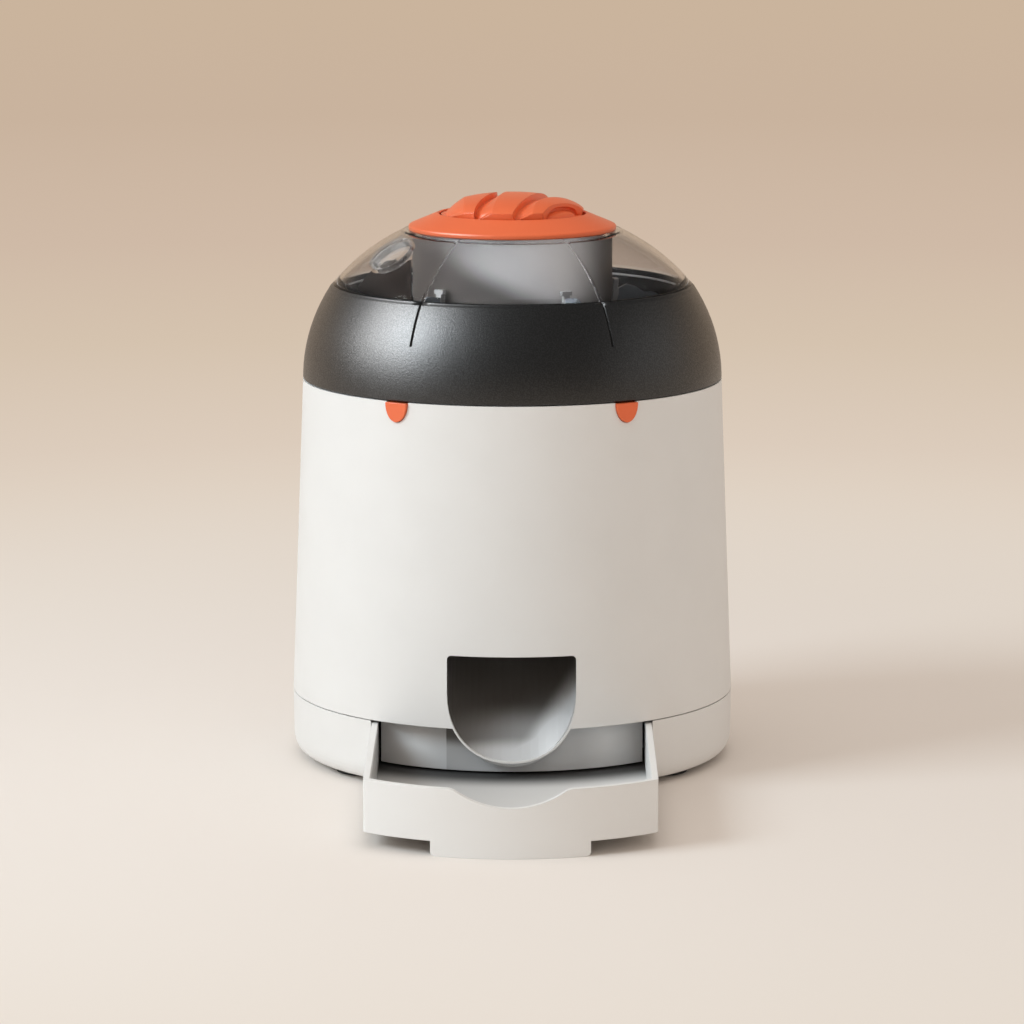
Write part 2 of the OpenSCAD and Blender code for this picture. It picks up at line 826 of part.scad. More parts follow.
// Black bowl that holds the treats, with its outlet, its shaft bearing and the posts of the deck
module hopper() {
    rim_z = collar_top - 3.4;
    color("#232427")
        difference() {
            union() {
                turn([
                    [shaft_r + shaft_fit, hopper_under - 6],
                    [shaft_r + 3.5, hopper_under - 6],
                    [shaft_r + 3.5, hopper_under],
                    [skirt_r, hopper_under],
                    [skirt_r, flange_z],
                    [latch_flange, flange_z],
                    [latch_flange, flange_z + hopper_t],
                    [skirt_r + hopper_t, flange_z + hopper_t],
                    [skirt_r + hopper_t, hopper_z],
                    [hopper_rim_r, rim_z - 3],
                    [hopper_rim_r, rim_z],
                    [hopper_rim_r - hopper_rim_w, rim_z],
                    [skirt_r - 0.3, hopper_z + 2],
                    [hopper_floor_r, hopper_z],
                    [shaft_r + shaft_fit, hopper_z],
                ]);
                for (sx = [-1, 1])
                    for (sy = [-1, 1])
                        translate([sx * deck_post_x, sy * deck_post_y, 0])
                            rod(4, deck_top, hopper_under - deck_top + eps);
                for (s = [-1, 1])
                    at_front(s * latch_az)
                        block(bracket_u, bracket_u + bracket_t, -8, 8, latch_foot - 1, flange_z + eps);
            }
            duct_block(0, hopper_under - 1, hopper_z + 1);
            for (sx = [-1, 1])
                for (sy = [-1, 1])
                    translate([sx * deck_post_x, sy * deck_post_y, 0])
                        rod(screw_r + screw_fit, deck_top - 1, 13);
            for (s = [-1, 1])
                at_front(s * latch_az) {
                    block(bracket_u + bracket_t + 0.5, far_r, -9, 9, latch_foot - 2, flange_z + 4);
                    translate([bracket_u - 1, 0, latch_mid])
                        rotate([0, 90, 0])
                            cylinder(r = 2 + seat, h = bracket_t + 2, $fn = 32);
                }
        }
}

// Deck under the hopper that carries the lower bearing and the gear motor
module gear_deck() {
    color("gray")
        difference() {
            block(-deck_half, deck_half, -deck_post_y - 7, motor_y + gearbox_r + 3, deck_z, deck_top);
            rod(shaft_r + shaft_fit, deck_z - 1, deck_t + 2);
            translate([0, motor_y, 0])
                rod(motor_shaft_r + 3, deck_z - 1, deck_t + 2);
            for (sx = [-1, 1]) {
                for (sy = [-1, 1])
                    translate([sx * deck_post_x, sy * deck_post_y, 0])
                        rod(screw_r + seat, deck_z - 1, deck_t + 2);
                translate([sx * 11, motor_y, 0])
                    rod(screw_r + seat, deck_z - 1, deck_t + 2);
            }
        }
}

// Gear motor hanging under the deck: gearbox, can and its two solder tags
module gear_motor() {
    can_z = deck_z - gearbox_h - motor_l;
    color("silver")
        translate([0, motor_y, 0])
            difference() {
                union() {
                    rod(gearbox_r, deck_z - gearbox_h, gearbox_h);
                    rod(motor_r, can_z, motor_l + eps);
                    for (s = [-1, 1])
                        translate([s * tag_x, 0, 0])
                            block(-1.2, 1.2, -0.3, 0.3, can_z - 4, can_z + eps);
                }
                rod(motor_shaft_r + shaft_fit, deck_z - 8, 9);
                for (s = [-1, 1])
                    translate([s * 11, 0, 0])
                        rod(screw_r + screw_fit, deck_z - 6, 7);
            }
}

// Switch under the push rod, with its actuator on top
module micro_switch() {
    color("#1c1c1e") {
        block(-10, 10, -3.2, 3.2, switch_top - 12, switch_top - 2);
        rod(1.6, switch_top - 2 - eps, 2 + eps);
        for (s = [-1, 1])
            translate([s * tag_x, 0, 0])
                block(-1.2, 1.2, 3.2 - eps, 7, switch_top - 9, switch_top - 8.4);
    }
}

// Bent plate that hangs from the deck and carries the switch
module switch_bracket() {
    shelf = switch_top - 12;
    color("silver") {
        block(-11, 11, -22, 4, shelf - 1.6, shelf);
        block(-11, 11, -22, -20.4, shelf - 1.6, deck_z);
        block(-11, 11, -30, -20.4, deck_z - 1.6, deck_z);
    }
}

module circuit_board() {
    color("darkgreen")
        difference() {
            block(-board_w / 2, board_w / 2, board_y - board_d / 2, board_y + board_d / 2, board_z, board_z + board_t);
            for (p = board_holes())
                translate(p)
                    rod(screw_r, board_z - 1, board_t + 2);
        }
}

// Parts on the board: chip, driver, capacitor and three plugs
module board_parts() {
    top = board_z + board_t;
    color("#202225") {
        block(-7, 7, -2, 12, top, top + 2);
        block(-30, -12, 14, 24, top, top + 11);
        translate([18, -14, 0])
            rod(5, top, 12);
        for (p = plug_places())
            translate(p)
                block(-5, 5, -3, 3, 0, plug_h);
    }
}
plug_h = 8;
battery_plug_x = 25;
// Plugs of the battery, the switch and the motor, with the leads' side facing up
function plug_places() = [
    [battery_plug_x, board_y + 25, board_z + board_t],
    [0, board_y - 27, board_z + board_t],
    [0, board_y + 25, board_z + board_t]
];
// Sideways place of the solder tags, and so of the two wires of each pair
tag_x = 3;

// Open box for the cells, with a boss for the door screw
module battery_box() {
    color("#2b2d30")
        difference() {
            union() {
                block(-box_half, box_half, box_front, box_back, chassis_top, box_top + box_wall);
                block(-7, 7, box_back - 14, box_back, box_top, box_top + box_wall + boss_h);
            }
            block(-box_half + box_wall, box_half - box_wall, box_front + box_wall, box_back + 1, chassis_top + box_wall, box_top);
            translate([0, box_back - 10, door_screw_z])
                rotate([-90, 0, 0])
                    cylinder(r = 1.25, h = 12, $fn = 32);
        }
}

module cell(i) {
    color("olivedrab")
        translate([(i - 2.5) * cell_pitch, cell_y, 0]) {
            rod(cell_r, cell_z, cell_l);
            rod(2.7, cell_z + cell_l - eps, nub_l + eps);
        }
}

module cell_springs() {
    color("silver")
        for (i = CELLS)
            translate([(i - 2.5) * cell_pitch, cell_y, 0])
                coil(3.6, 0.4, chassis_top + box_wall + 0.05, spring_l - 0.1, 3);
}

module contact_strip() {
    color("goldenrod")
        block(-box_half + box_wall + 1, box_half - box_wall - 1, cell_y - 4, cell_y + 4, box_top - strip_t, box_top);
}

// Door in the rear of the shell, on two lower hooks and one screw
module battery_door() {
    z0 = chassis_top + 4;
    z1 = box_top + box_wall + boss_h;
    color("whitesmoke")
        difference() {
            union() {
                intersection() {
                    turn([
                        [shell_in(z0), z0],
                        [shell_r(z0), z0],
                        [shell_r(z1), z1],
                        [shell_in(z1), z1],
                    ]);
                    door_block(seat);
                }
                for (s = [-1, 1])
                    intersection() {
                        ring(shell_in(z0) - 2.2, shell_in(z0) - seat, z0 - 3, 8);
                        translate([s * 18, 0, 0])
                            block(-4, 4, 0, base_r, z0 - 3, z0 + 6);
                    }
                for (s = [-1, 1])
                    intersection() {
                        ring(shell_in(z0) - 1, shell_in(z0) + 0.6, z0 + seat, 4);
                        translate([s * 18, 0, 0])
                            block(-4, 4, 0, base_r, z0, z0 + 6);
                    }
            }
            translate([0, box_back - 1, door_screw_z])
                rotate([-90, 0, 0])
                    cylinder(r = screw_r, h = far_r, $fn = 32);
            translate([0, door_face - 1.2, door_screw_z])
                rotate([-90, 0, 0])
                    cylinder(r = head_r + 0.2, h = far_r, $fn = 32);
        }
}
door_face = shell_r(door_screw_z);

module door_screw() {
    color("silver")
        translate([0, 0, door_screw_z])
            rotate([-90, 0, 0]) {
                translate([0, 0, door_face - 1.2])
                    cylinder(r = head_r, h = 1.1, $fn = 32);
                translate([0, 0, box_back - 8])
                    cylinder(r = 1.2, h = door_face - 1.2 - box_back + 8 + eps, $fn = 32);
            }
}

module base_screws() {
    color("silver")
        for (p = POSTS)
            at_front(p[1], p[0])
                screw(floor_z + 3.6, chassis_top + 10 - floor_z - 3.6);
}

module deck_screws() {
    color("silver")
        for (sx = [-1, 1])
            for (sy = [-1, 1])
                translate([sx * deck_post_x, sy * deck_post_y, 0])
                    screw(deck_z, deck_t + 10);
}

// Two screws that hold the motor from above the deck
module motor_screws() {
    color("silver")
        for (s = [-1, 1])
            translate([s * 11, motor_y, 0]) {
                rod(head_r, deck_top, head_h);
                rod(screw_r, deck_z - 5, deck_t + 5 + eps);
            }
}

module board_screws() {
    top = board_z + board_t;
    color("silver")
        for (p = board_holes())
            translate(p) {
                rod(head_r, top, head_h);
                rod(1.2, top - board_t - board_lift + 1, board_t + board_lift - 1 + eps);
            }
}

function plug_top(i) = plug_places()[i] + [0, 0, plug_h];

module motor_leads() {
    tag = [0, motor_y, deck_z - gearbox_h - motor_l - 4];
    color("firebrick")
        leads([tag, tag - [0, 0, 12], plug_top(2) + [0, 0, 14], plug_top(2)]);
}

module switch_leads() {
    tag = [0, 7, switch_top - 8.7];
    color("darkblue")
        leads([tag, tag + [0, 3, 0], tag + [0, 6, -20], plug_top(1) + [0, 0, 24], plug_top(1)]);
}

module battery_leads() {
    out = [battery_plug_x, box_front, chassis_top + 30];
    color("black")
        leads([out, out - [0, 10, 0], plug_top(0) + [0, 0, 10], plug_top(0)]);
}

// Spring between the latch and its bracket, along a line out from the axis
module latch_spring(s) {
    color("silver")
        at_front(s * latch_az, 0, latch_mid)
            rotate([0, 90, 0])
                coil(3, 0.4, bracket_u + bracket_t + 0.05, latch_back - bracket_u - bracket_t - 0.1, 5);
}

// Orange tab, its inner flange and the stem that passes the bracket
module latch(s) {
    color("orangered")
        at_front(s * latch_az) {
            latch_outline(0, latch_back, latch_face, latch_top);
            block(latch_back, latch_flange, -7.6, 7.6, latch_foot + 0.4, flange_z - 0.6);
            translate([bracket_u - 2, 0, latch_mid])
                rotate([0, 90, 0])
                    cylinder(r = 2, h = latch_back - bracket_u + 3, $fn = 32);
        }
}

// Cuts of the two slits, from the outside of the lid down to a depth
module slits(depth) {
    for (s = [-1, 1])
        at_front(s * slit_az)
            difference() {
                block(neck_r - 4, far_r, -slit_w / 2, slit_w / 2, collar_top - slit_drop, dome_top + 5);
                rotate([0, 0, 90 - s * slit_az])
                    slit_core(depth);
            }
}

module slit_core(depth) {
    turn(concat(
        [[0, collar_z]],
        arc_points(top_r - depth, collar_curve - depth, collar_z, 0, collar_top_t, 10),
        arc_points(dome_a - depth, dome_curve - depth, collar_z, dome_low_t, dome_high_t, 12),
        [[0, dome_top + 6]]
    ));
}
collar_top_t = asin(collar_h / collar_curve);
dome_low_t = asin(collar_h / dome_curve);
dome_high_t = acos(neck_r / dome_a);

// Black satin collar with the grooves of the slits and a lug behind each latch
module collar() {
    w = collar_wall;
    top_t = asin(collar_h / (collar_curve - w));
    color("#26272a")
        difference() {
            union() {
                turn(concat(
                    [[top_r - w, collar_z], [top_r - 0.6, collar_z], [top_r, collar_z + 0.6]],
                    arc_points(top_r, collar_curve, collar_z, 1.5, collar_top_t - 1, 10),
                    [[collar_top_r, collar_top - 0.8], [collar_top_r - 0.4, collar_top]],
                    arc_points(top_r - w, collar_curve - w, collar_z, top_t, 2, 10)
                ));
                for (s = [-1, 1])
                    intersection() {
                        at_front(s * latch_az)
                            collar_lug();
                        rod_plate(top_r - w + 0.5, 0, collar_z + 9);
                    }
            }
            slits(slit_depth);
        }
}

// Lug that reaches down behind a latch, with a slot for the latch stem that is open at its foot
module collar_lug() {
    difference() {
        union() {
            block(lug_u, lug_u + lug_t, -7.5, 7.5, latch_foot, collar_z + 8);
            block(lug_u, top_r, -7.5, 7.5, collar_z + 4, collar_z + 8);
        }
        block(lug_u - 1, lug_u + lug_t + 1, -4.6, 4.6, latch_foot - 1, flange_z - 0.5);
    }
}

// Clear dome with the shelf for the bezel, the foot inside the collar and the seat of the port cap
module dome() {
    w = dome_wall;
    a_in = dome_a - w;
    b_in = dome_curve - w;
    foot_r = dome_foot_r - 2.4;
    color("#c9c5c0", 0.35)
        difference() {
            union() {
                turn(concat(
                    [[dome_foot_r, collar_top]],
                    arc_points(dome_a, dome_curve, collar_z, dome_low_t + 0.6, dome_high_t, 16),
                    [
                        [drum_r + 0.4, dome_top],
                        [drum_r + 0.4, dome_top - shelf_t],
                    ],
                    arc_points(a_in, b_in, collar_z, acos(neck_r / a_in), asin((collar_h + 2) / b_in), 16),
                    [
                        [foot_r - 2, collar_top],
                        [foot_r - 2, collar_top - 2.6],
                        [foot_r, collar_top - 2.6],
                        [foot_r, collar_top],
                    ]
                ));
                at_port()
                    rod(cap_r + 0.8, -2.6, 3.2);
            }
            at_port()
                rod(cap_r - 1.2, -8, 12);
            slits(slit_depth);
        }
}

// Places children on the dome at the port, with local Z square to the dome
module at_port() {
    z = ring_z(dome_a, dome_curve, port_dist);
    tilt = atan2(port_dist / pow(dome_a, 2), (z - collar_z) / pow(dome_curve, 2));
    at_front(port_az, port_dist, z)
        rotate([0, tilt, 0])
            children();
}

// Clear cap with a hollow plug and a grip bar across it
module port_cap() {
    flange = 0.6;
    plug_r = cap_r - 1.5;
    color("#d8d5d0", 0.4)
        at_port() {
            turn([
                [0, flange + cap_t - 1],
                [plug_r - 1.4, flange + cap_t - 1],
                [plug_r - 1.4, flange - plug_depth],
                [plug_r, flange - plug_depth],
                [plug_r, flange],
                [cap_r, flange],
                [cap_r, flange + cap_t - 0.4],
                [cap_r - 0.4, flange + cap_t],
                [0, flange + cap_t],
            ]);
            block(-cap_r + 1.5, cap_r - 1.5, -0.8, 0.8, flange + cap_t - eps, flange + cap_t + grip_h);
        }
}

// Orange bezel with the cup for the button and a spigot inside the drum
module bezel() {
    cup_r = knob_r + knob_gap;
    rim = dome_top + disc_rim;
    spigot = drum_r - drum_wall - 0.2;
    color("orangered")
        turn([
            [rod_r + rod_gap, dome_top],
            [spigot - 1.8, dome_top],
            [spigot - 1.8, dome_top - 4],
            [spigot, dome_top - 4],
            [spigot, dome_top],
            [disc_r - 0.4, dome_top],
            [disc_r, dome_top + 0.4],
            [disc_r, rim - 0.9],
            [disc_r - 0.3, rim - 0.3],
            [disc_r - 1.2, rim + 0.2],
            [cup_r + 0.8, disc_top],
            [cup_r, disc_top - 0.4],
            [cup_r, cup_floor],
            [rod_r + rod_gap, cup_floor],
        ]);
}

// Smoky drum that hangs from the bezel to just above the rotor
module drum() {
    color("#8a8d90", 0.6)
        turn([
            [rod_r + rod_gap, drum_z],
            [drum_r - 1, drum_z],
            [drum_r, drum_z + 1],
            [drum_r, dome_top],
            [drum_r - drum_wall, dome_top],
            [drum_r - drum_wall, drum_z + 2],
            [rod_r + rod_gap, drum_z + 2],
        ]);
}

// Rounded outline of the button, as a full curve of a radius and a height
module knob_dome(r, h) {
    turn(concat(
        [[0, knob_z + 2]],
        [for (t = [0:7.5:90]) [r * curl(cos(t), 2.4), knob_z + 2 + h * curl(sin(t), 2.4)]]
    ));
}

module channel(x, y, r) {
    translate([x, y, 0])
        difference() {
            rod_plate(r + channel_w / 2, knob_z, knob_h * 2);
            rod_plate(r - channel_w / 2, knob_z - 1, knob_h * 2 + 2);
        }
}

// Ribbed push button: a low dome with three broad ribs that sweep back to the right
module ribbed_button() {
    h = knob_top - knob_z - 2;
    s = knob_r / 35.5;
    color("orangered")
        difference() {
            union() {
                rod_plate(knob_r - 0.2, knob_z, 2.2);
                knob_dome(knob_r - 0.6, h - channel_depth);
                difference() {
                    knob_dome(knob_r - 0.2, h);
                    channel(78 * s, -18 * s, 90 * s);
                    channel(125 * s, -45 * s, 119 * s);
                    translate([57 * s, -36 * s, 0])
                        rod_plate(42 * s, knob_z, knob_h * 2);
                    translate([-knob_r, 0, knob_z + h - 1.5])
                        rotate([0, -38, 0])
                            block(-20, 20, -knob_r, knob_r, 0, 20);
                    block(-knob_r, knob_r, -knob_r - 5, -knob_r + 4, knob_z, knob_top);
                }
            }
            rod(knob_r - 4, knob_z - 1, 2.8);
            rod(rod_r, knob_z - 1, 6);
        }
}

module push_rod() {
    color("gainsboro")
        rod(rod_r, rod_z, knob_z + 5 - rod_z);
}

module button_spring() {
    color("silver")
        coil(knob_spring_r, 0.6, cup_floor + 0.05, knob_z + 1.8 - cup_floor - 0.1, 4);
}

// Paddle rotor: a disc under the drum, a hub, and humped paddles with small keys beside the drum
module rotor() {
    low = hopper_z + rotor_gap;
    disc = low + 2.4;
    hub = drum_z - 1;
    inner = drum_r + 1.6;
    color("#5c6670", 0.8)
        difference() {
            union() {
                rod_plate(inner, low, 2.4);
                rod(shaft_r + 4, low, hub - low);
                for (i = [0:paddles - 1])
                    at_front(paddle_az + 360 * i / paddles)
                        paddle(low, disc, inner);
            }
            rod(shaft_r, low - 1, hub);
        }
}

module paddle(low, disc, inner) {
    outer = hopper_floor_r - 0.4;
    top = hopper_z + hump_h;
    translate([0, paddle_t / 2, 0])
        rotate([90, 0, 0])
            linear_extrude(paddle_t)
                polygon([
                    [inner - 3, low],
                    [outer, low],
                    [outer + 1.2, low + 12],
                    [outer, low + 18],
                    [inner + 20, top - 7],
                    [inner + 12, top - 1.5],
                    [inner + 7, top],
                    [inner + 2.5, top - 2],
                    [inner, top - 6],
                    [inner, disc],
                    [inner - 3, disc],
                ]);
    block(inner, inner + 2.4, -1.5, 1.5, disc - eps, top + 1.5);
    block(inner, inner + 2.4, -2.8, 2.8, top + 1, top + 3);
}

// Tall dark blade that keeps the treats moving
module stirrer_blade() {
    foot = hopper_z + rotor_gap + 2.4;
    inner = drum_r + 1.8;
    top = hopper_z + blade_h;
    color("#3a2f2a")
        at_front(blade_az)
            translate([0, blade_t / 2, 0])
                rotate([90, 0, 0])
                    linear_extrude(blade_t)
                        polygon([
                            [inner - 8, foot],
                            [hopper_floor_r - 2, foot],
                            [hopper_floor_r + 1.5, top - 15],
                            [inner + 18, top - 3],
                            [inner + 12, top - 0.5],
                            [inner, top],
                            [inner, foot + 2.6],
                            [inner - 8, foot + 2.6],
                        ]);
}

module rotor_shaft() {
    z0 = deck_z - 3;
    color("gainsboro")
        ring(rod_r + rod_gap, shaft_r, z0, drum_z - 1 - z0);
}

module drive_gear() {
    color("ivory") {
        translate([0, 0, gear_z])
            gear(gear_teeth, 0, shaft_r);
        ring(shaft_r, shaft_r + 4, deck_top + seat, gear_z - deck_top - seat + eps);
    }
}

// Clip that keeps the shaft in the deck
module shaft_clip() {
    color("silver")
        ring(shaft_r, shaft_r + 2.5, deck_z - seat - 1.2, 1.2);
}

module motor_shaft() {
    color("silver")
        translate([0, motor_y, 0])
            rod(motor_shaft_r, deck_z - 7.5, gear_z + gear_w + 1 - deck_z + 7.5);
}

module pinion() {
    color("ivory")
        translate([0, motor_y, gear_z])
            gear(pinion_teeth, 270 + 180 / pinion_teeth, motor_shaft_r);
}

// Plan of the tray, made smaller by g: straight sides, a front curved like the base, and corners of radius c
module tray_plan(g, z0, z1, c) {
    r = base_r - g;
    difference() {
        intersection() {
            block(-tray_half + g, tray_half - g, -tray_out - base_r, -tray_rear - g, z0, z1);
            union() {
                translate([0, -tray_out, 0])
                    rod_plate(r, z0, z1 - z0);
                block(-tray_half, tray_half, -tray_out, 0, z0, z1);
            }
        }
        for (s = [0, 1])
            mirror([s, 0, 0])
                tray_corner_cut(tray_half - g, r, c, z0 - 1, z1 + 1);
    }
}

// What a rounding of radius c takes off the corner between a side at x = half and a front of radius r
module tray_corner_cut(half, r, c, z0, z1) {
    a = asin((half - c) / (r - c));
    y = -tray_out - (r - c) * cos(a);
    low = -tray_out - r - 1;
    translate([0, 0, z0])
        linear_extrude(z1 - z0)
            polygon(concat(
                [for (i = [0:8]) let (t = (a - 90) * (1 - i / 8)) [half - c + c * cos(t), y + c * sin(t)]],
                [[half + 1, y], [half + 1, low], [half - c + c * sin(a), low]]
            ));
}

// Curve of the tray front's upper edge, dipping between two rounded shoulders
function scoop() = let (
    zc = tray_top - scoop_drop + scoop_r,
    zs = tray_top - shoulder_r,
    xs = sqrt(pow(scoop_r + shoulder_r, 2) - pow(zc - zs, 2)),
    a = atan2(xs, zc - zs)
) concat(
    [for (i = [0:4]) [-xs + shoulder_r * sin(a * i / 4), zs + shoulder_r * cos(a * i / 4)]],
    [for (i = [-7:7]) [scoop_r * sin(a * i / 8), zc - scoop_r * cos(a * i / 8)]],
    [for (i = [4:-1:0]) [xs - shoulder_r * sin(a * i / 4), zs + shoulder_r * cos(a * i / 4)]],
    [[xs, tray_top + 5], [-xs, tray_top + 5]]
);

// Pull-out tray with its scooped front, the foot under it and the lug that meets the stop
module tray() {
    front = -tray_out - base_r;
    color("whitesmoke")
        difference() {
            union() {
                tray_plan(0, tray_z, tray_top, tray_corner);
                intersection() {
                    difference() {
                        tray_plan(0, 0, tray_z + 1, tray_corner);
                        tray_plan(tray_wall, -1, tray_z + 2, tray_inner_corner);
                    }
                    toe();
                }
                block(
                    -tray_lug_half, tray_lug_half,
                    -tray_rear - tray_lug_d, -tray_rear,
                    floor_z + seat, tray_z + eps
                );
            }
            tray_plan(tray_wall, tray_bed, tray_top + 1, tray_inner_corner);
            translate([0, front + 60, 0])
                rotate([90, 0, 0])
                    linear_extrude(70)
                        polygon(scoop());
        }
}

// Foot outline in X and Z with rounded lower corners, carried through the tray front
module toe() {
    c = toe_corner;
    translate([0, -tray_out, 0])
        rotate([90, 0, 0])
            linear_extrude(base_r + 10)
                polygon(concat(
                    [for (t = [180:22.5:270]) [-toe_half + c + c * cos(t), c + c * sin(t)]],
                    [for (t = [270:22.5:360]) [toe_half - c + c * cos(t), c + c * sin(t)]],
                    [[toe_half, tray_z + 1], [-toe_half, tray_z + 1]]
                ));
}

base();
foot(-1, -1);  // foot_front_left
foot(1, -1);  // foot_front_right
foot(-1, 1);  // foot_rear_left
foot(1, 1);  // foot_rear_right
body_shell();
chassis();
chute();
drop_tube();
hopper();
gear_deck();
gear_motor();
micro_switch();
switch_bracket();
circuit_board();
board_parts();
battery_box();
for (i = CELLS)
    cell(i);
cell_springs();
contact_strip();
battery_door();
door_screw();
base_screws();
chute_screws();
deck_screws();
motor_screws();
board_screws();
motor_leads();
switch_leads();
battery_leads();
latch_spring(-1);  // latch_spring_left
latch_spring(1);  // latch_spring_right
collar();
dome();
bezel();
drum();
ribbed_button();
push_rod();
button_spring();
port_cap();
rotor();
rotor_shaft();
drive_gear();
shaft_clip();
stirrer_blade();
motor_shaft();
pinion();
tray();
latch(-1);  // latch_left
latch(1);  // latch_right
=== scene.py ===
"""Scene of the interactive treat dispenser: finishes, moulded detail, studio light and camera."""

import json
import logging
import math
from dataclasses import dataclass
from enum import Enum
from typing import Any, Sequence, Union

import bmesh
import bpy
from mathutils import Matrix, Vector


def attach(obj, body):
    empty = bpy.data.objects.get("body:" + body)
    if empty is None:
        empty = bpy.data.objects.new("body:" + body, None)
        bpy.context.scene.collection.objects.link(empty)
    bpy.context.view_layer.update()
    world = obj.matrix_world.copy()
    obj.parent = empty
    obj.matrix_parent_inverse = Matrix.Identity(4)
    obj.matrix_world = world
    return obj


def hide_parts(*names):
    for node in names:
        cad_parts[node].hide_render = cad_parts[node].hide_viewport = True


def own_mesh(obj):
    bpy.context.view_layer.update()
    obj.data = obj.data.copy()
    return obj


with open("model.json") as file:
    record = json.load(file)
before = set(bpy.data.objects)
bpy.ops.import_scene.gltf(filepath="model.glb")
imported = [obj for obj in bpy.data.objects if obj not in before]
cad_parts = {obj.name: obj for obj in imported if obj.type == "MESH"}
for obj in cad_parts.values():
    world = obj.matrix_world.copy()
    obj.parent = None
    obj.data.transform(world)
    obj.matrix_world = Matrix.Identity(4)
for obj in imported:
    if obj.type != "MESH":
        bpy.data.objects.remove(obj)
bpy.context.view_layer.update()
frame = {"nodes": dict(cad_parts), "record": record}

logging.basicConfig(level=logging.INFO, format="%(name)s: %(message)s")
LOG = logging.getLogger("dispenser")

Colour = tuple[float, float, float]
Span = tuple[float, float]
Curve = tuple[float, ...]
Number = Union[float, "Wire"]

UNLIT: Colour = (0.0, 0.0, 0.0)
MILLIMETRE = 0.001
MERGE_DISTANCE = 2e-6
SPIN_MERGE_DISTANCE = 1e-7
CLOUD_SIZE = 0.03
CLOUD_SWING = 0.08
GRAIN_SWING = 0.1


def colour_of(code: str) -> Colour:
    """Turn a colour as a screen shows it into the linear values of a shader.

    Args:
        code: Six hexadecimal digits.

    Returns:
        Linear red, green and blue.
    """
    parts = [int(code[i:i + 2], 16) / 255 for i in (0, 2, 4)]
    return tuple(p / 12.92 if p <= 0.04045 else ((p + 0.055) / 1.055) ** 2.4 for p in parts)


class Wire:
    """A shader socket that takes part in Python arithmetic."""

    def __init__(self, shader: "Shader", socket: Any) -> None:
        """Keep the socket and the shader that it belongs to."""
        self.shader = shader
        self.socket = socket

    def _math(self, operation: str, *values: Number) -> "Wire":
        """Add a Math node on these values."""
        return self.shader.node("ShaderNodeMath", {"operation": operation}, *values)

    def __add__(self, other: Number) -> "Wire":
        """Sum."""
        return self._math("ADD", self, other)

    def __radd__(self, other: Number) -> "Wire":
        """Sum with a number in front."""
        return self._math("ADD", other, self)

    def __sub__(self, other: Number) -> "Wire":
        """Difference."""
        return self._math("SUBTRACT", self, other)

    def __rsub__(self, other: Number) -> "Wire":
        """Difference with a number in front."""
        return self._math("SUBTRACT", other, self)

    def __mul__(self, other: Number) -> "Wire":
        """Product."""
        return self._math("MULTIPLY", self, other)

    def __rmul__(self, other: Number) -> "Wire":
        """Product with a number in front."""
        return self._math("MULTIPLY", other, self)

    def __abs__(self) -> "Wire":
        """Size without its sign."""
        return self._math("ABSOLUTE", self)

    def at_most(self, other: Number) -> "Wire":
        """The smaller of this value and another."""
        return self._math("MINIMUM", self, other)

    def turn_from(self, other: Number) -> "Wire":
        """Angle of this value over another."""
        return self._math("ARCTAN2", self, other)

    def clamped(self) -> "Wire":
        """The value kept between 0 and 1."""
        return self.shader.node("ShaderNodeClamp", {}, self)


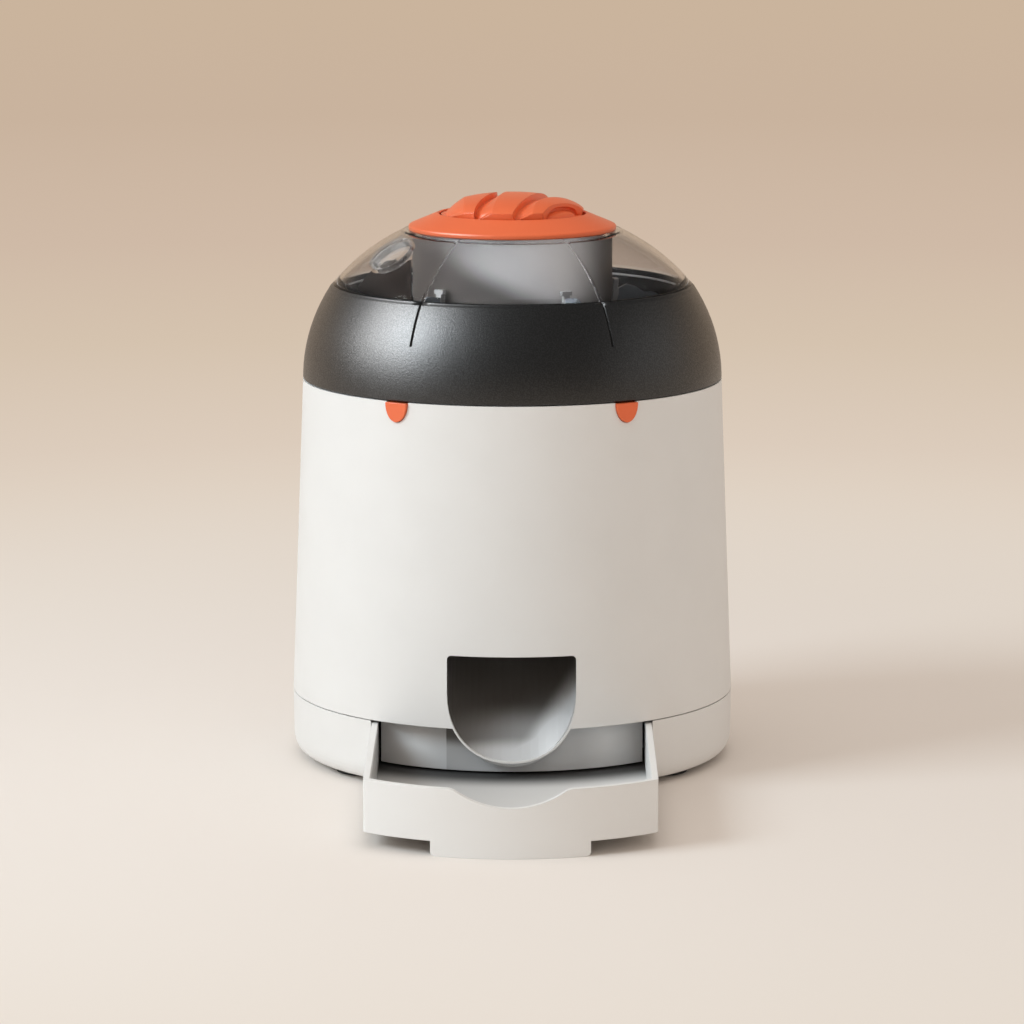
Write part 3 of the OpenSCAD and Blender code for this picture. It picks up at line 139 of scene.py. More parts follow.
class Shader:
    """The node tree of one material."""

    def __init__(self, name: str) -> None:
        """Start an empty material.

        Args:
            name: Name of the material.
        """
        self.material = bpy.data.materials.new(name)
        self.material.use_nodes = True
        self.tree = self.material.node_tree
        self.tree.nodes.clear()

    @classmethod
    def of_tree(cls, tree: Any) -> "Shader":
        """Write into a node tree that is there already.

        Args:
            tree: The tree, such as the world's.

        Returns:
            A shader that adds its nodes to it.
        """
        made = cls.__new__(cls)
        made.tree = tree
        return made

    def node(self, kind: str, settings: dict[str, Any], *values: Any, out: int | str = 0,
             **named: Any) -> Wire:
        """Add one node, set its choices first, and then its sockets.

        Args:
            kind: Node type.
            settings: Choices of the node, such as a Math node's operation.
            values: Values or links of its first sockets, in order.
            out: The output that is returned.
            named: Values or links of sockets by name, with _ for a blank.

        Returns:
            The chosen output.
        """
        made = self.tree.nodes.new(kind)
        for key, value in settings.items():
            setattr(made, key, value)
        pairs = list(enumerate(values)) + [(key.replace("_", " "), v) for key, v in named.items()]
        for key, value in pairs:
            if isinstance(value, Wire):
                self.tree.links.new(value.socket, made.inputs[key])
            elif value is not None:
                made.inputs[key].default_value = value
        return Wire(self, made.outputs[out])

    def place(self) -> Wire:
        """Place on the piece, in metres."""
        return self.node("ShaderNodeTexCoord", {}, out="Object")

    def axes(self, vector: Wire, names: str = "XYZ") -> list[Wire]:
        """Split a vector into its parts along these axes."""
        return [self.node("ShaderNodeSeparateXYZ", {}, vector, out=name) for name in names]

    def length(self, vector: Wire) -> Wire:
        """Length of a vector."""
        return self.node("ShaderNodeVectorMath", {"operation": "LENGTH"}, vector, out="Value")

    def noise(self, size: float, detail: float = 2, stretch: Sequence[float] = (1, 1, 1)) -> Wire:
        """Soft noise of a real size.

        Args:
            size: Width of one grain in metres.
            detail: Octaves.
            stretch: Factors along X, Y and Z.

        Returns:
            Noise from 0 to 1.
        """
        where = self.node("ShaderNodeMapping", {}, self.place(), Scale=tuple(stretch))
        return self.node("ShaderNodeTexNoise", {}, where, Scale=1 / size, Detail=detail)

    def mix(self, share: Number, first: Any, second: Any) -> Wire:
        """Blend two colours.

        Args:
            share: Share of the second.
            first: First colour.
            second: Second colour.

        Returns:
            The blended colour.
        """
        made = self.tree.nodes.new("ShaderNodeMix")
        made.data_type = "RGBA"
        for key, value in ((0, share), (6, first), (7, second)):
            if isinstance(value, Wire):
                self.tree.links.new(value.socket, made.inputs[key])
            else:
                made.inputs[key].default_value = value if key == 0 else (*value, 1)
        return Wire(self, made.outputs[2])

    def step(self, value: Wire, start: float, end: float) -> Wire:
        """Ease from 0 to 1 between two values.

        Args:
            value: The value that is looked at.
            start: Where the step is 0.
            end: Where the step is 1.

        Returns:
            The eased share.
        """
        return self.node("ShaderNodeMapRange", {"interpolation_type": "SMOOTHSTEP"}, value,
                         From_Min=start, From_Max=end)

    def relief(self, height: Wire, depth: float, round_edge: float = 0) -> Wire:
        """Bump from a height, over edges that are rounded a little.

        Args:
            height: Height from 0 to 1.
            depth: Depth in metres.
            round_edge: Radius of the rounding in metres.

        Returns:
            A normal.
        """
        base = self.node("ShaderNodeBevel", {"samples": 4}, Radius=round_edge) if round_edge else None
        return self.node("ShaderNodeBump", {}, Strength=1.0, Distance=depth, Height=height, Normal=base)

    def surface(self, **sockets: Any) -> Wire:
        """Add the main shader and end the tree with it.

        Args:
            sockets: Values or links of its sockets, with _ for a blank.

        Returns:
            The shader.
        """
        made = self.node("ShaderNodeBsdfPrincipled", {}, **sockets)
        self.finish(made)
        return made

    def finish(self, made: Wire) -> None:
        """Link a shader to the output."""
        end = self.tree.nodes.new("ShaderNodeOutputMaterial")
        self.tree.links.new(made.socket, end.inputs[0])

    def lit_through(self, body: Wire, tint: Colour) -> Wire:
        """Let lamps shine through a clear shader, tinted but without bending.

        Args:
            body: The clear shader.
            tint: Colour of the light behind it.

        Returns:
            The shader with its shadow rays let through.
        """
        shadow = self.node("ShaderNodeLightPath", {}, out="Is Shadow Ray")
        through = self.node("ShaderNodeBsdfTransparent", {}, (*tint, 1))
        return self.node("ShaderNodeMixShader", {}, shadow, body, through)

    def seen(self) -> Wire:
        """Tell what the camera, a reflection or a clear piece shows from what lights the object.

        Returns:
            1 for camera, glossy and transmission rays and 0 for the others.
        """
        rays = [self.node("ShaderNodeLightPath", {}, out=f"Is {kind} Ray")
                for kind in ("Camera", "Glossy", "Transmission")]
        return (rays[0] + rays[1] + rays[2]).clamped()


@dataclass(frozen=True)
class MouldedPlastic:
    """Injection moulded plastic with a fine tool texture, and a sparkle where fleck is over 0.

    Sizes are in metres, and fleck_size is a share of the grain.
    """

    name: str
    colour: Colour
    roughness: float = 0.4
    grain: float = 0.0006
    grain_depth: float = 0.00001
    uneven: float = 0.03
    edge: float = 0.0004
    specular: float = 0.5
    fleck: float = 0.0
    fleck_size: float = 0.85
    fleck_span: Span = (0.38, 0.68)

    def build(self) -> Any:
        """Make the material.

        Returns:
            The material.
        """
        s = Shader(self.name)
        cloud = s.noise(CLOUD_SIZE, 3)
        grain = s.noise(self.grain, 2)
        dark = tuple(c * (1 - 2 * self.uneven) for c in self.colour)
        colour = s.mix(cloud, dark, self.colour)
        rough = (cloud - 0.5) * CLOUD_SWING + (grain - 0.5) * GRAIN_SWING + self.roughness
        coat: dict[str, Any] = {}
        if self.fleck:
            flecks = s.step(s.noise(self.grain * self.fleck_size, 0), *self.fleck_span)
            coat = {"Coat_Weight": flecks * self.fleck, "Coat_Roughness": self.roughness}
        s.surface(Base_Color=colour, Roughness=rough, Normal=s.relief(grain, self.grain_depth, self.edge),
                  Specular_IOR_Level=self.specular, **coat)
        return s.material


@dataclass(frozen=True)
class ClearPlastic:
    """Clear or smoky plastic that light passes through."""

    name: str
    colour: Colour
    roughness: float = 0.03
    index: float = 1.3
    haze: float = 0.01
    haze_colour: Colour = (0.5, 0.53, 0.56)
    haze_roughness: float = 0.4
    ripple_size: float = 0.02
    ripple_swing: float = 0.02
    ripple_depth: float = 0.00002

    def build(self) -> Any:
        """Make the material.

        Returns:
            The material.
        """
        s = Shader(self.name)
        ripple = s.noise(self.ripple_size, 2)
        rough = ripple * self.ripple_swing + self.roughness
        normal = s.relief(ripple, self.ripple_depth)
        clear = s.node("ShaderNodeBsdfPrincipled", {}, Base_Color=(*self.colour, 1), Roughness=rough,
                       IOR=self.index, Transmission_Weight=1.0, Normal=normal)
        milky = s.node("ShaderNodeBsdfPrincipled", {}, Base_Color=(*self.haze_colour, 1),
                       Roughness=self.haze_roughness, Normal=normal)
        body = s.node("ShaderNodeMixShader", {}, ripple * self.haze * 2, clear, milky)
        s.finish(s.lit_through(body, tuple(math.sqrt(c) for c in self.colour)))
        return s.material


@dataclass(frozen=True)
class SmokyPaddles:
    """Smoky plastic of the rotor, with a paler tone past a radius beside the drum."""

    name: str
    smoke: Colour
    key: Colour
    key_reach: float = 0.0532
    key_step: float = 0.0005
    clear_tint: Colour = (0.4, 0.44, 0.48)
    cloud_size: float = 0.02
    cloud_tone: float = 0.7
    haze: float = 0.75

    def build(self) -> Any:
        """Make the material.

        Returns:
            The material.
        """
        s = Shader(self.name)
        # The rotor is paler past this radius, beside the drum.
        across = s.node("ShaderNodeVectorMath", {"operation": "MULTIPLY"}, s.place(), (1, 1, 0))
        beyond = s.node("ShaderNodeMapRange", {}, s.length(across), From_Min=self.key_reach,
                        From_Max=self.key_reach + self.key_step)
        dark = tuple(c * self.cloud_tone for c in self.smoke)
        smoke = s.mix(s.noise(self.cloud_size), dark, self.smoke)
        clear = s.node("ShaderNodeBsdfPrincipled", {}, Base_Color=(*self.clear_tint, 1), Roughness=0.2,
                       IOR=1.2, Transmission_Weight=1.0)
        milky = s.node("ShaderNodeBsdfPrincipled", {}, Base_Color=s.mix(beyond, self.key, smoke),
                       Roughness=0.35)
        s.finish(s.node("ShaderNodeMixShader", {}, self.haze, clear, milky))
        return s.material


@dataclass(frozen=True)
class ChutePlastic:
    """Grey plastic of the chute, with painted shade inside the duct that eases off at its lip, right wall
    and apron, and painted light on the apron's ends.

    The spans are places in metres where a tone eases in, from none to full.
    """

    name: str
    pale: Colour
    # The dark colour is painted shade inside the duct.
    dark: Colour
    half_width: float = 0.031
    lip: Span = (0.042, 0.03)
    lip_across: Span = (-0.032, 0.005)
    lip_left: float = 0.1
    lip_rise: float = 0.32
    low_lip: Span = (0.0275, 0.0215)
    low_share: float = 0.6
    wall_height: float = 0.039
    wall_slope: float = 0.72
    wall_place: float = 0.019
    wall_soft: float = 0.006
    wall_share: float = 0.85
    outer_step: float = 0.0006
    # Painted light: the apron's ends ease towards a colour paler than the plastic.
    ends: Span = (0.0312, 0.046)
    end_colour: Colour = (0.9, 0.9, 0.9)
    worn: float = 0.95
    roughness: float = 0.42
    grain_size: float = 0.0006
    grain_depth: float = 0.00001
    edge: float = 0.0004

    def build(self) -> Any:
        """Make the material.

        Returns:
            The material.
        """
        s = Shader(self.name)
        x, z = s.axes(s.place(), "XZ")
        # Painted shade: the dark colour fills the duct and eases off by these shares at the lip, the right
        # wall and the apron.
        lip = (s.step(z, *self.lip) * (s.step(x, *self.lip_across) * self.lip_rise + self.lip_left)
               + s.step(z, *self.low_lip) * self.low_share)
        past_wall = x - ((z - self.wall_height) * self.wall_slope + self.wall_place)
        wall = s.step(past_wall, -self.wall_soft, self.wall_soft) * self.wall_share
        outside = s.step(abs(x), self.half_width, self.half_width + self.outer_step)
        grain = s.noise(self.grain_size)
        # Painted light: the apron's ends take a paler colour than the plastic.
        pale = s.mix(s.noise(CLOUD_SIZE, 3), s.mix(s.step(abs(x), *self.ends), self.pale, self.end_colour),
                     tuple(c * self.worn for c in self.pale))
        s.surface(Base_Color=s.mix((lip + wall + outside).clamped(), self.dark, pale),
                  Roughness=(grain - 0.5) * GRAIN_SWING + self.roughness,
                  Normal=s.relief(grain, self.grain_depth, self.edge))
        return s.material


@dataclass(frozen=True)
class TrayPlastic:
    """White plastic of the tray, shaded on the floor towards the apron and beside the left wall.

    The spans are places in metres where a tone eases in, from none to full.
    """

    name: str
    colour: Colour
    half_inside: float = 0.0641
    half_step: float = 0.0004
    reach: float = 0.106
    reach_step: float = 0.0006
    front: float = 0.1179
    top: float = 0.0282
    top_step: float = 0.001
    rear: Span = (0.132, 0.107)
    floor: Span = (0.0115, 0.0105)
    rear_shade: float = 0.93
    across: Span = (-0.075, 0.06)
    left_tone: float = 0.62
    tone_rise: float = 0.32
    cloudy: float = 0.04
    roughness: float = 0.5
    grain_size: float = 0.0009
    grain_depth: float = 0.000006
    edge: float = 0.0005
    specular: float = 0.3

    def build(self) -> Any:
        """Make the material.

        Returns:
            The material.
        """
        s = Shader(self.name)
        x, y, z = s.axes(s.place())
        bow = s.length(s.node("ShaderNodeCombineXYZ", {}, x, (y + self.front).at_most(0.0), 0.0))
        inside = (s.step(abs(x), self.half_inside + self.half_step, self.half_inside)
                  * s.step(bow, self.reach + self.reach_step, self.reach)
                  * s.step(z, self.top, self.top - self.top_step))
        away = s.length(s.node("ShaderNodeCombineXYZ", {}, x, y, 0.0))
        far = s.step(away, *self.rear) * s.step(z, *self.floor) * self.rear_shade
        side = s.step(x, *self.across) * self.tone_rise + self.left_tone
        tone = 1 - inside * (1 - side * (1 - far))
        cloud = s.noise(CLOUD_SIZE, 3)
        grain = s.noise(self.grain_size)
        s.surface(Base_Color=s.mix(tone * (cloud * self.cloudy + 1 - self.cloudy), UNLIT, self.colour),
                  Roughness=(grain - 0.5) * GRAIN_SWING + self.roughness,
                  Normal=s.relief(grain, self.grain_depth, self.edge), Specular_IOR_Level=self.specular)
        return s.material


@dataclass(frozen=True)
class FrostedDrum:
    """Smoky frosted plastic, with a painted highlight at the front, painted shade towards its foot and its
    sides, and a painted glow where light would shine through it.

    Places round the drum are angles in radians from the front to the right, and heights are in metres.
    """

    name: str
    # The pale colour is the painted highlight and the dark colour the painted shade.
    pale: Colour
    dark: Colour
    haze: float = 0.85
    # Strength of the painted glow, emission where light would shine through the drum.
    glow: float = 0.2
    clear_tint: Colour = (0.6, 0.58, 0.57)
    shadow_tint: Colour = (0.5, 0.5, 0.5)
    cloud_size: float = 0.02
    cloudy: float = 0.2
    # Spans of the painted highlight at the front and of the painted shade at the foot.
    front_left: Span = (-0.95, 0.17)
    front_right: Span = (1.35, 0.5)
    foot: Span = (0.229, 0.243)
    foot_slope: float = 0.02
    foot_tone: float = 0.1
    # Spans of the painted glow.
    glow_left: Span = (-0.2, 0.45)
    glow_right: Span = (1.1, 0.45)
    glow_foot: Span = (0.22, 0.24)

    def build(self) -> Any:
        """Make the material.

        Returns:
            The material.
        """
        s = Shader(self.name)
        x, y, z = s.axes(s.place())
        turn = x.turn_from(y * -1)
        # Painted highlight at the front, with painted shade towards the sides and the foot.
        middle = s.step(turn, *self.front_left) * s.step(turn, *self.front_right)
        above = s.step(turn * self.foot_slope + z, *self.foot)
        cloud = s.noise(self.cloud_size, 2) * self.cloudy + (1 - self.cloudy / 2)
        pale = middle * (above * (1 - self.foot_tone) + self.foot_tone) * cloud
        # Painted glow: emission where light would shine through the frosted drum.
        through = (s.step(turn, *self.glow_left) * s.step(turn, *self.glow_right)
                   * s.step(z, *self.glow_foot))
        clear = s.node("ShaderNodeBsdfPrincipled", {}, Base_Color=(*self.clear_tint, 1), Roughness=0.3,
                       IOR=1.35, Transmission_Weight=1.0)
        milky = s.node("ShaderNodeBsdfPrincipled", {}, Roughness=0.5, Specular_IOR_Level=0.15,
                       Base_Color=s.mix(pale.clamped(), self.dark, self.pale),
                       Emission_Color=s.mix(through, UNLIT, self.pale), Emission_Strength=self.glow)
        body = s.node("ShaderNodeMixShader", {}, self.haze, clear, milky)
        s.finish(s.lit_through(body, self.shadow_tint))
        return s.material


@dataclass(frozen=True)
class TurnedMetal:
    """Plain metal with fine turning marks."""

    name: str
    colour: Colour
    roughness: float = 0.3
    mark: float = 0.0008
    mark_depth: float = 0.00001
    mark_swing: float = 0.15
    dark_share: float = 0.85

    def build(self) -> Any:
        """Make the material.

        Returns:
            The material.
        """
        s = Shader(self.name)
        marks = s.noise(self.mark, 2, (1, 1, 6))
        colour = s.mix(marks, tuple(c * self.dark_share for c in self.colour), self.colour)
        s.surface(Base_Color=colour, Roughness=marks * self.mark_swing + self.roughness, Metallic=1.0,
                  Normal=s.relief(marks, self.mark_depth))
        return s.material


class Look(Enum):
    """Every finish on the dispenser."""

    WHITE = MouldedPlastic("white_moulding", (0.82, 0.82, 0.81), 0.5, grain=0.0009, grain_depth=0.000006,
                           specular=0.3)
    LIGHT_GREY = MouldedPlastic("light_grey_moulding", (0.62, 0.63, 0.64), 0.42)
    DARK_GREY = MouldedPlastic("dark_grey_moulding", (0.09, 0.095, 0.1), 0.5)
    COLLAR = MouldedPlastic("black_satin_collar", (0.007, 0.007, 0.007), 0.37, grain=0.0007,
                            grain_depth=0.0001, edge=0.0005, specular=0.7, fleck=0.5)
    BOWL = MouldedPlastic("black_bowl", (0.009, 0.009, 0.009), 0.3, specular=0.25)
    BLACK = MouldedPlastic("plain_black", (0.02, 0.02, 0.021), 0.5)
    ORANGE = MouldedPlastic("orange_moulding", (0.88, 0.165, 0.055), 0.36, grain=0.0005, edge=0.0005)
    CLEAR = ClearPlastic("clear_dome", (0.76, 0.75, 0.75), 0.02, index=1.09)
    CAP = ClearPlastic("clear_cap", (0.85, 0.85, 0.85), 0.02, index=1.01, haze=0.1,
                       haze_colour=(0.66, 0.64, 0.62))
    # The drum's pale colour is its painted highlight and its dark colour its painted shade.
    SMOKY = FrostedDrum("smoky_drum", (0.88, 0.87, 0.87), (0.1, 0.085, 0.076))
    ROTOR = SmokyPaddles("smoky_rotor", (0.33, 0.37, 0.41), (0.65, 0.65, 0.65))
    # The chute's dark colour is painted shade inside its duct.
    CHUTE = ChutePlastic("grey_chute", (0.62, 0.63, 0.64), (0.09, 0.083, 0.076))
    TRAY = TrayPlastic("white_tray", (0.82, 0.82, 0.81))
    BLADE = MouldedPlastic("brown_blade", (0.03, 0.018, 0.012), 0.35)
    NYLON = MouldedPlastic("nylon", (0.72, 0.69, 0.6), 0.45)
    STEEL = TurnedMetal("steel", (0.6, 0.6, 0.61))
    BRASS = TurnedMetal("brass", (0.7, 0.48, 0.2))
    RUBBER = MouldedPlastic("rubber", (0.022, 0.022, 0.023), 0.75, grain=0.0012, grain_depth=0.00005)
    BOARD = MouldedPlastic("solder_mask", (0.01, 0.1, 0.035), 0.3)
    SLEEVE = MouldedPlastic("cell_sleeve", (0.12, 0.2, 0.05), 0.3)
    RED = MouldedPlastic("red_insulation", (0.35, 0.02, 0.015), 0.45)
    BLUE = MouldedPlastic("blue_insulation", (0.015, 0.04, 0.22), 0.45)
    BLACK_WIRE = MouldedPlastic("black_insulation", (0.02, 0.02, 0.02), 0.45)


SLOT_LOOKS: dict[str, Look] = {
    "white_shell": Look.WHITE, "light_grey": Look.LIGHT_GREY, "dark_grey": Look.DARK_GREY,
    "black_satin": Look.COLLAR, "black_plastic": Look.BLACK, "orange": Look.ORANGE, "clear": Look.CLEAR,
    "smoky": Look.SMOKY, "dark_blade": Look.BLADE, "nylon": Look.NYLON, "steel": Look.STEEL,
    "rubber": Look.RUBBER, "board_green": Look.BOARD, "cell_green": Look.SLEEVE, "brass": Look.BRASS,
    "red_wire": Look.RED, "blue_wire": Look.BLUE, "black_wire": Look.BLACK_WIRE,
}
NODE_LOOKS: dict[str, Look] = {
    "port_cap": Look.CAP, "hopper": Look.BOWL, "drop_tube": Look.BLACK, "rotor": Look.ROTOR,
    "chute": Look.CHUTE, "tray": Look.TRAY,
}


class Paint:
    """Makes each finish once and puts it on pieces."""

    def __init__(self) -> None:
        """Start with no material made."""
        self.made: dict[Look, Any] = {}

    def material(self, look: Look) -> Any:
        """Give the material of a finish.

        Args:
            look: The finish.

        Returns:
            Its material, made at the first call.
        """
        if look not in self.made:
            self.made[look] = look.value.build()
        return self.made[look]

    def coat(self, piece: Any, look: Look) -> None:
        """Give a whole piece one finish.

        Args:
            piece: Blender object.
            look: The finish.
        """
        piece.data.materials.clear()
        piece.data.materials.append(self.material(look))

    def coat_frame(self) -> None:
        """Give every CAD node the finish of its slot."""
        slots = {row["node"]: row["material_slot"] for row in frame["record"]["subparts"]}
        for name, node in frame["nodes"].items():
            self.coat(node, NODE_LOOKS.get(name, SLOT_LOOKS[slots[name]]))
        LOG.info("finishes on %d nodes", len(frame["nodes"]))

def millimetres(*values: float) -> Vector:
    """Turn a place in millimetres into metres."""
    return Vector(values) * MILLIMETRE


def polynomial(curve: Curve, value: float) -> float:
    """Work out a polynomial from its factors, the constant first."""
    return sum(factor * value ** power for power, factor in enumerate(curve))


def share_of(value: float, start: float, end: float) -> float:
    """Share of the way between two values, kept between 0 and 1."""
    return min(max((value - start) / (end - start), 0.0), 1.0)


def ease(value: float, start: float, end: float) -> float:
    """Share of the way between two values, flat at both ends."""
    share = share_of(value, start, end)
    return share * share * (3 - 2 * share)


def turned(profile: Sequence[tuple[float, float]], steps: int, cuts: int = 0) -> Any:
    """Spin a closed outline of radii and heights in millimetres about the axis.

    Args:
        profile: Radius and height of each corner, from the axis back to the axis.
        steps: Parts of the full turn.
        cuts: Cuts of the outline's first stretch.

    Returns:
        The bmesh of the closed solid.
    """
    bm = bmesh.new()
    corners = [bm.verts.new(millimetres(radius, 0, height)) for radius, height in profile]
    edges = [bm.edges.new(pair) for pair in zip(corners, corners[1:])]
    if cuts:
        bmesh.ops.subdivide_edges(bm, edges=edges[:1], cuts=cuts)
    bmesh.ops.spin(bm, geom=bm.verts[:] + bm.edges[:], axis=(0, 0, 1), cent=(0, 0, 0),
                   angle=math.tau, steps=steps, use_merge=True)
    bmesh.ops.remove_doubles(bm, verts=bm.verts, dist=SPIN_MERGE_DISTANCE)
    return bm


@dataclass
class RibbedButton:
    """Push button of three swept ribs, each with a steep right wall and a soft left flank.

    Sizes are in millimetres. The curves of the edges and crests give a place to the right from one
    to the rear, and the arch's curve gives one to the rear from the way past its start.
    """

    paint: Paint
    radius: float = 35.0
    foot: float = 266.45
    level: float = 268.2
    blank: float = 272.0
    corner: float = 0.2
    skirt: float = 0.25
    lean: float = 0.7
    crown: float = 10.2
    spread: float = 36.1
    channel: float = 3.0
    channel_spread: float = 0.7
    border: float = 0.3
    brow: float = 1.0
    brow_across: Span = (26.0, 18.0)
    brow_along: Span = (-10.0, -20.0)
    wall: float = 0.3
    snap: tuple[float, float, float] = (-0.25, 0.15, 0.55)
    first_curve: Curve = (-10.7, 0.2806, -0.00324, -0.000136)
    first_ends: Span = (-30.0, 18.0)
    second_curve: Curve = (11.3, 0.279, -0.00105)
    second_crest: Curve = (-5.1, 0.16, 0.0004)
    third_crest: Curve = (21.6, 0.68, 0.0098)
    least_flank: float = 4.5
    left_flank: Span = (-30.6, -23.6)
    flank_power: float = 1.6
    flank_swell: float = 0.4
    arch_left: float = 12.0
    arch_start: float = 15.2
    arch_curve: Curve = (-31.0, 2.35, -0.055)
    arch_face: float = 0.05
    arch_bands: tuple[float, float, float, float, float] = (0.17, 0.52, 1.2, 1.6, 3.0)
    slot: float = 1.3
    recess: float = 1.5
    recess_left: Span = (16.5, 19.5)
    recess_right: Span = (33.0, 30.5)

    def build(self) -> Any:
        """Make the button in place of its solid.

        Returns:
            The piece.
        """
        waist = self.radius - self.lean
        bm = turned([(0, self.blank), (self.radius - self.corner, self.blank), (self.radius, self.blank),
                     (waist, self.level - self.skirt), (waist, self.foot), (0, self.foot)],
                    steps=600, cuts=122)
        for vertex in bm.verts:
            if vertex.co.z / MILLIMETRE > self.blank - 1:
                vertex.co = millimetres(*self.form(vertex.co.x / MILLIMETRE, vertex.co.y / MILLIMETRE))
        piece = mesh_object("ribbed_button_form", bm)
        self.paint.coat(piece, Look.ORANGE)
        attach(piece, "button")
        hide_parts("ribbed_button")
        return piece

    def form(self, x: float, y: float) -> tuple[float, float, float]:
        """Place of a point of the button's top, drawn to the edges of the ribs.

        Args:
            x: Place to the right in millimetres.
            y: Place to the rear in millimetres.

        Returns:
            Place in millimetres.
        """
        r = math.hypot(x, y)
        brow = self.brow * ease(abs(x), *self.brow_across) * ease(y, *self.brow_along)
        crest = self.dome(r, self.spread + brow, self.crown)
        hollow = self.dome(r, self.radius - self.channel + self.channel_spread, self.crown - self.channel)
        near, top, bottom = self.snap
        if r < self.radius - self.border:
            for edge in (self.first_edge(y), self.second_edge(y)):
                if near <= x - edge < top:
                    x = edge
                elif top <= x - edge < bottom:
                    x = edge + self.wall
        high = hollow + (crest - hollow) * self.share(x, y)
        beyond, along, back = self.past_arch(x, y)
        if x > self.arch_left and beyond > -self.arch_bands[0]:
            x, y, high = self.arch(x, y, beyond, along, back, crest, hollow)
        return x, y, self.level + max(high, 0.0)

    def arch(self, x: float, y: float, beyond: float, along: float, back: float, crest: float,
             hollow: float) -> tuple[float, float, float]:
        """Form of the arch in the third rib: a wall with a recess under it.

        Args:
            x: Place to the right in millimetres.
            y: Place to the rear in millimetres.
            beyond: Distance past the arch's edge.
            along: Share of X in the direction away from the edge.
            back: Share of Y in that direction.
            crest: Height of the ribs here.
            hollow: Height of the channels here.

        Returns:
            Place to the right and to the rear, and height, in millimetres.
        """
        deep = self.recess * ease(x, *self.recess_left) * ease(x, *self.recess_right)
        roof = min(hollow + self.slot * deep / self.recess, crest)
        edge, under, inner, floor, end = self.arch_bands
        if beyond < edge:
            target, high = 0.0, crest
        elif beyond < under:
            target, high = self.arch_face, roof
        elif beyond < inner:
            part = share_of(beyond, under, inner)
            target, high = self.arch_face - (deep + self.arch_face) * part, roof
        elif beyond < floor:
            target, high = -deep, roof + (hollow - roof) * share_of(beyond, inner, floor)
        else:
            target = min(-deep + (beyond - floor) * (end + deep) / (end - floor), beyond)
            high = hollow
        if math.hypot(x, y) > self.radius - self.border:
            return x, y, high
        return x + along * (target - beyond), y + back * (target - beyond), high

    @staticmethod
    def dome(r: float, reach: float, high: float) -> float:
        """Height of an ellipse of this reach and height."""
        return high * math.sqrt(max(1 - (r / reach) ** 2, 0))

    def first_edge(self, y: float) -> float:
        """Right edge of the first rib at a place to the rear."""
        return polynomial(self.first_curve, min(max(y, self.first_ends[0]), self.first_ends[1]))

    def second_edge(self, y: float) -> float:
        """Right edge of the second rib at a place to the rear."""
        return polynomial(self.second_curve, y)

    def past_arch(self, x: float, y: float) -> tuple[float, float, float]:
        """Distance past the edge of the arch in the third rib.

        Args:
            x: Place to the right in millimetres.
            y: Place to the rear in millimetres.

        Returns:
            The distance, and the direction away from the edge along X and Y.
        """
        run = x - self.arch_start
        slope = self.arch_curve[1] + 2 * self.arch_curve[2] * run
        size = math.hypot(1, slope)
        return (polynomial(self.arch_curve, run) - y) / size, slope / size, -1 / size

    def share(self, x: float, y: float) -> float:
        """Share of a rib's full height at a place.

        Args:
            x: Place to the right in millimetres.
            y: Place to the rear in millimetres.

        Returns:
            0 in a channel, 1 on a rib.
        """
        first, second = self.first_edge(y), self.second_edge(y)
        if x < first + self.wall / 2:
            return share_of(x, *self.left_flank)
        if x < second + self.wall / 2:
            crest = max(polynomial(self.second_crest, y), first + self.least_flank)
            return self.flank((x - first - self.wall) / (crest - first))
        crest = max(polynomial(self.third_crest, y), second + self.least_flank)
        return self.flank((x - second - self.wall) / (crest - second))

    def flank(self, part: float) -> float:
        """Rise of a rib's soft flank, from its channel to its crest."""
        part = min(max(part, 0.0), 1.0)
        return part ** self.flank_power * (1 + self.flank_swell - self.flank_swell * part)


@dataclass
class TrueCurve:
    """Copy of a turned solid whose facets shade as the curves that they follow.

    A curve is its radius and height in millimetres about the middle, and 1 outside or -1 inside.
    """

    paint: Paint
    node: str
    look: Look
    curves: tuple[tuple[float, float, float], ...]
    middle: float = 188.0
    nearness: float = 0.06
    alignment: float = 0.98

    def build(self) -> Any:
        """Make the copy in place of its solid.

        Returns:
            The piece.
        """
        piece = merged_copy(self.node)
        mesh = piece.data
        normals = [Vector(corner.vector) for corner in mesh.corner_normals]
        for polygon in mesh.polygons:
            for corner in polygon.loop_indices:
                place = mesh.vertices[mesh.loops[corner].vertex_index].co / MILLIMETRE
                true = self.normal(place, polygon.normal)
                if true:
                    normals[corner] = true
        mesh.normals_split_custom_set(normals)
        row = next(r for r in frame["record"]["subparts"] if r["node"] == self.node)
        self.paint.coat(piece, self.look)
        bodies = frame["record"]["behaviour"]["bodies"]
        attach(piece, next(body for body, nodes in bodies.items() if self.node in nodes))
        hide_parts(self.node)
        return piece

    def normal(self, place: Vector, facet: Vector) -> Vector | None:
        """Find the true normal of a point that lies on one of the curves.

        Args:
            place: The point in millimetres.
            facet: Normal of its facet.

        Returns:
            The normal, or None where the facet follows no curve.
        """
        for wide, high, side in self.curves:
            x, y, z = place.x / wide, place.y / wide, (place.z - self.middle) / high
            true = Vector((x / wide, y / wide, z / high)).normalized() * side
            off = abs(math.sqrt(x * x + y * y + z * z) - 1) * wide
            if off < self.nearness and true.dot(facet) > self.alignment:
                return true
        return None


@dataclass
class LatchSpring:
    """Copy of a latch's spring, attached to the root body; the keep field is not used."""

    paint: Paint
    side: str
    keep: float = 0.8

    def build(self) -> Any:
        """Make the copy in place of its solid.

        Returns:
            The piece.
        """
        node = f"latch_spring_{self.side}"
        piece = merged_copy(node)
        self.paint.coat(piece, Look.STEEL)
        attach(piece, "root")
        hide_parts(node)
        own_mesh(piece)
        return piece


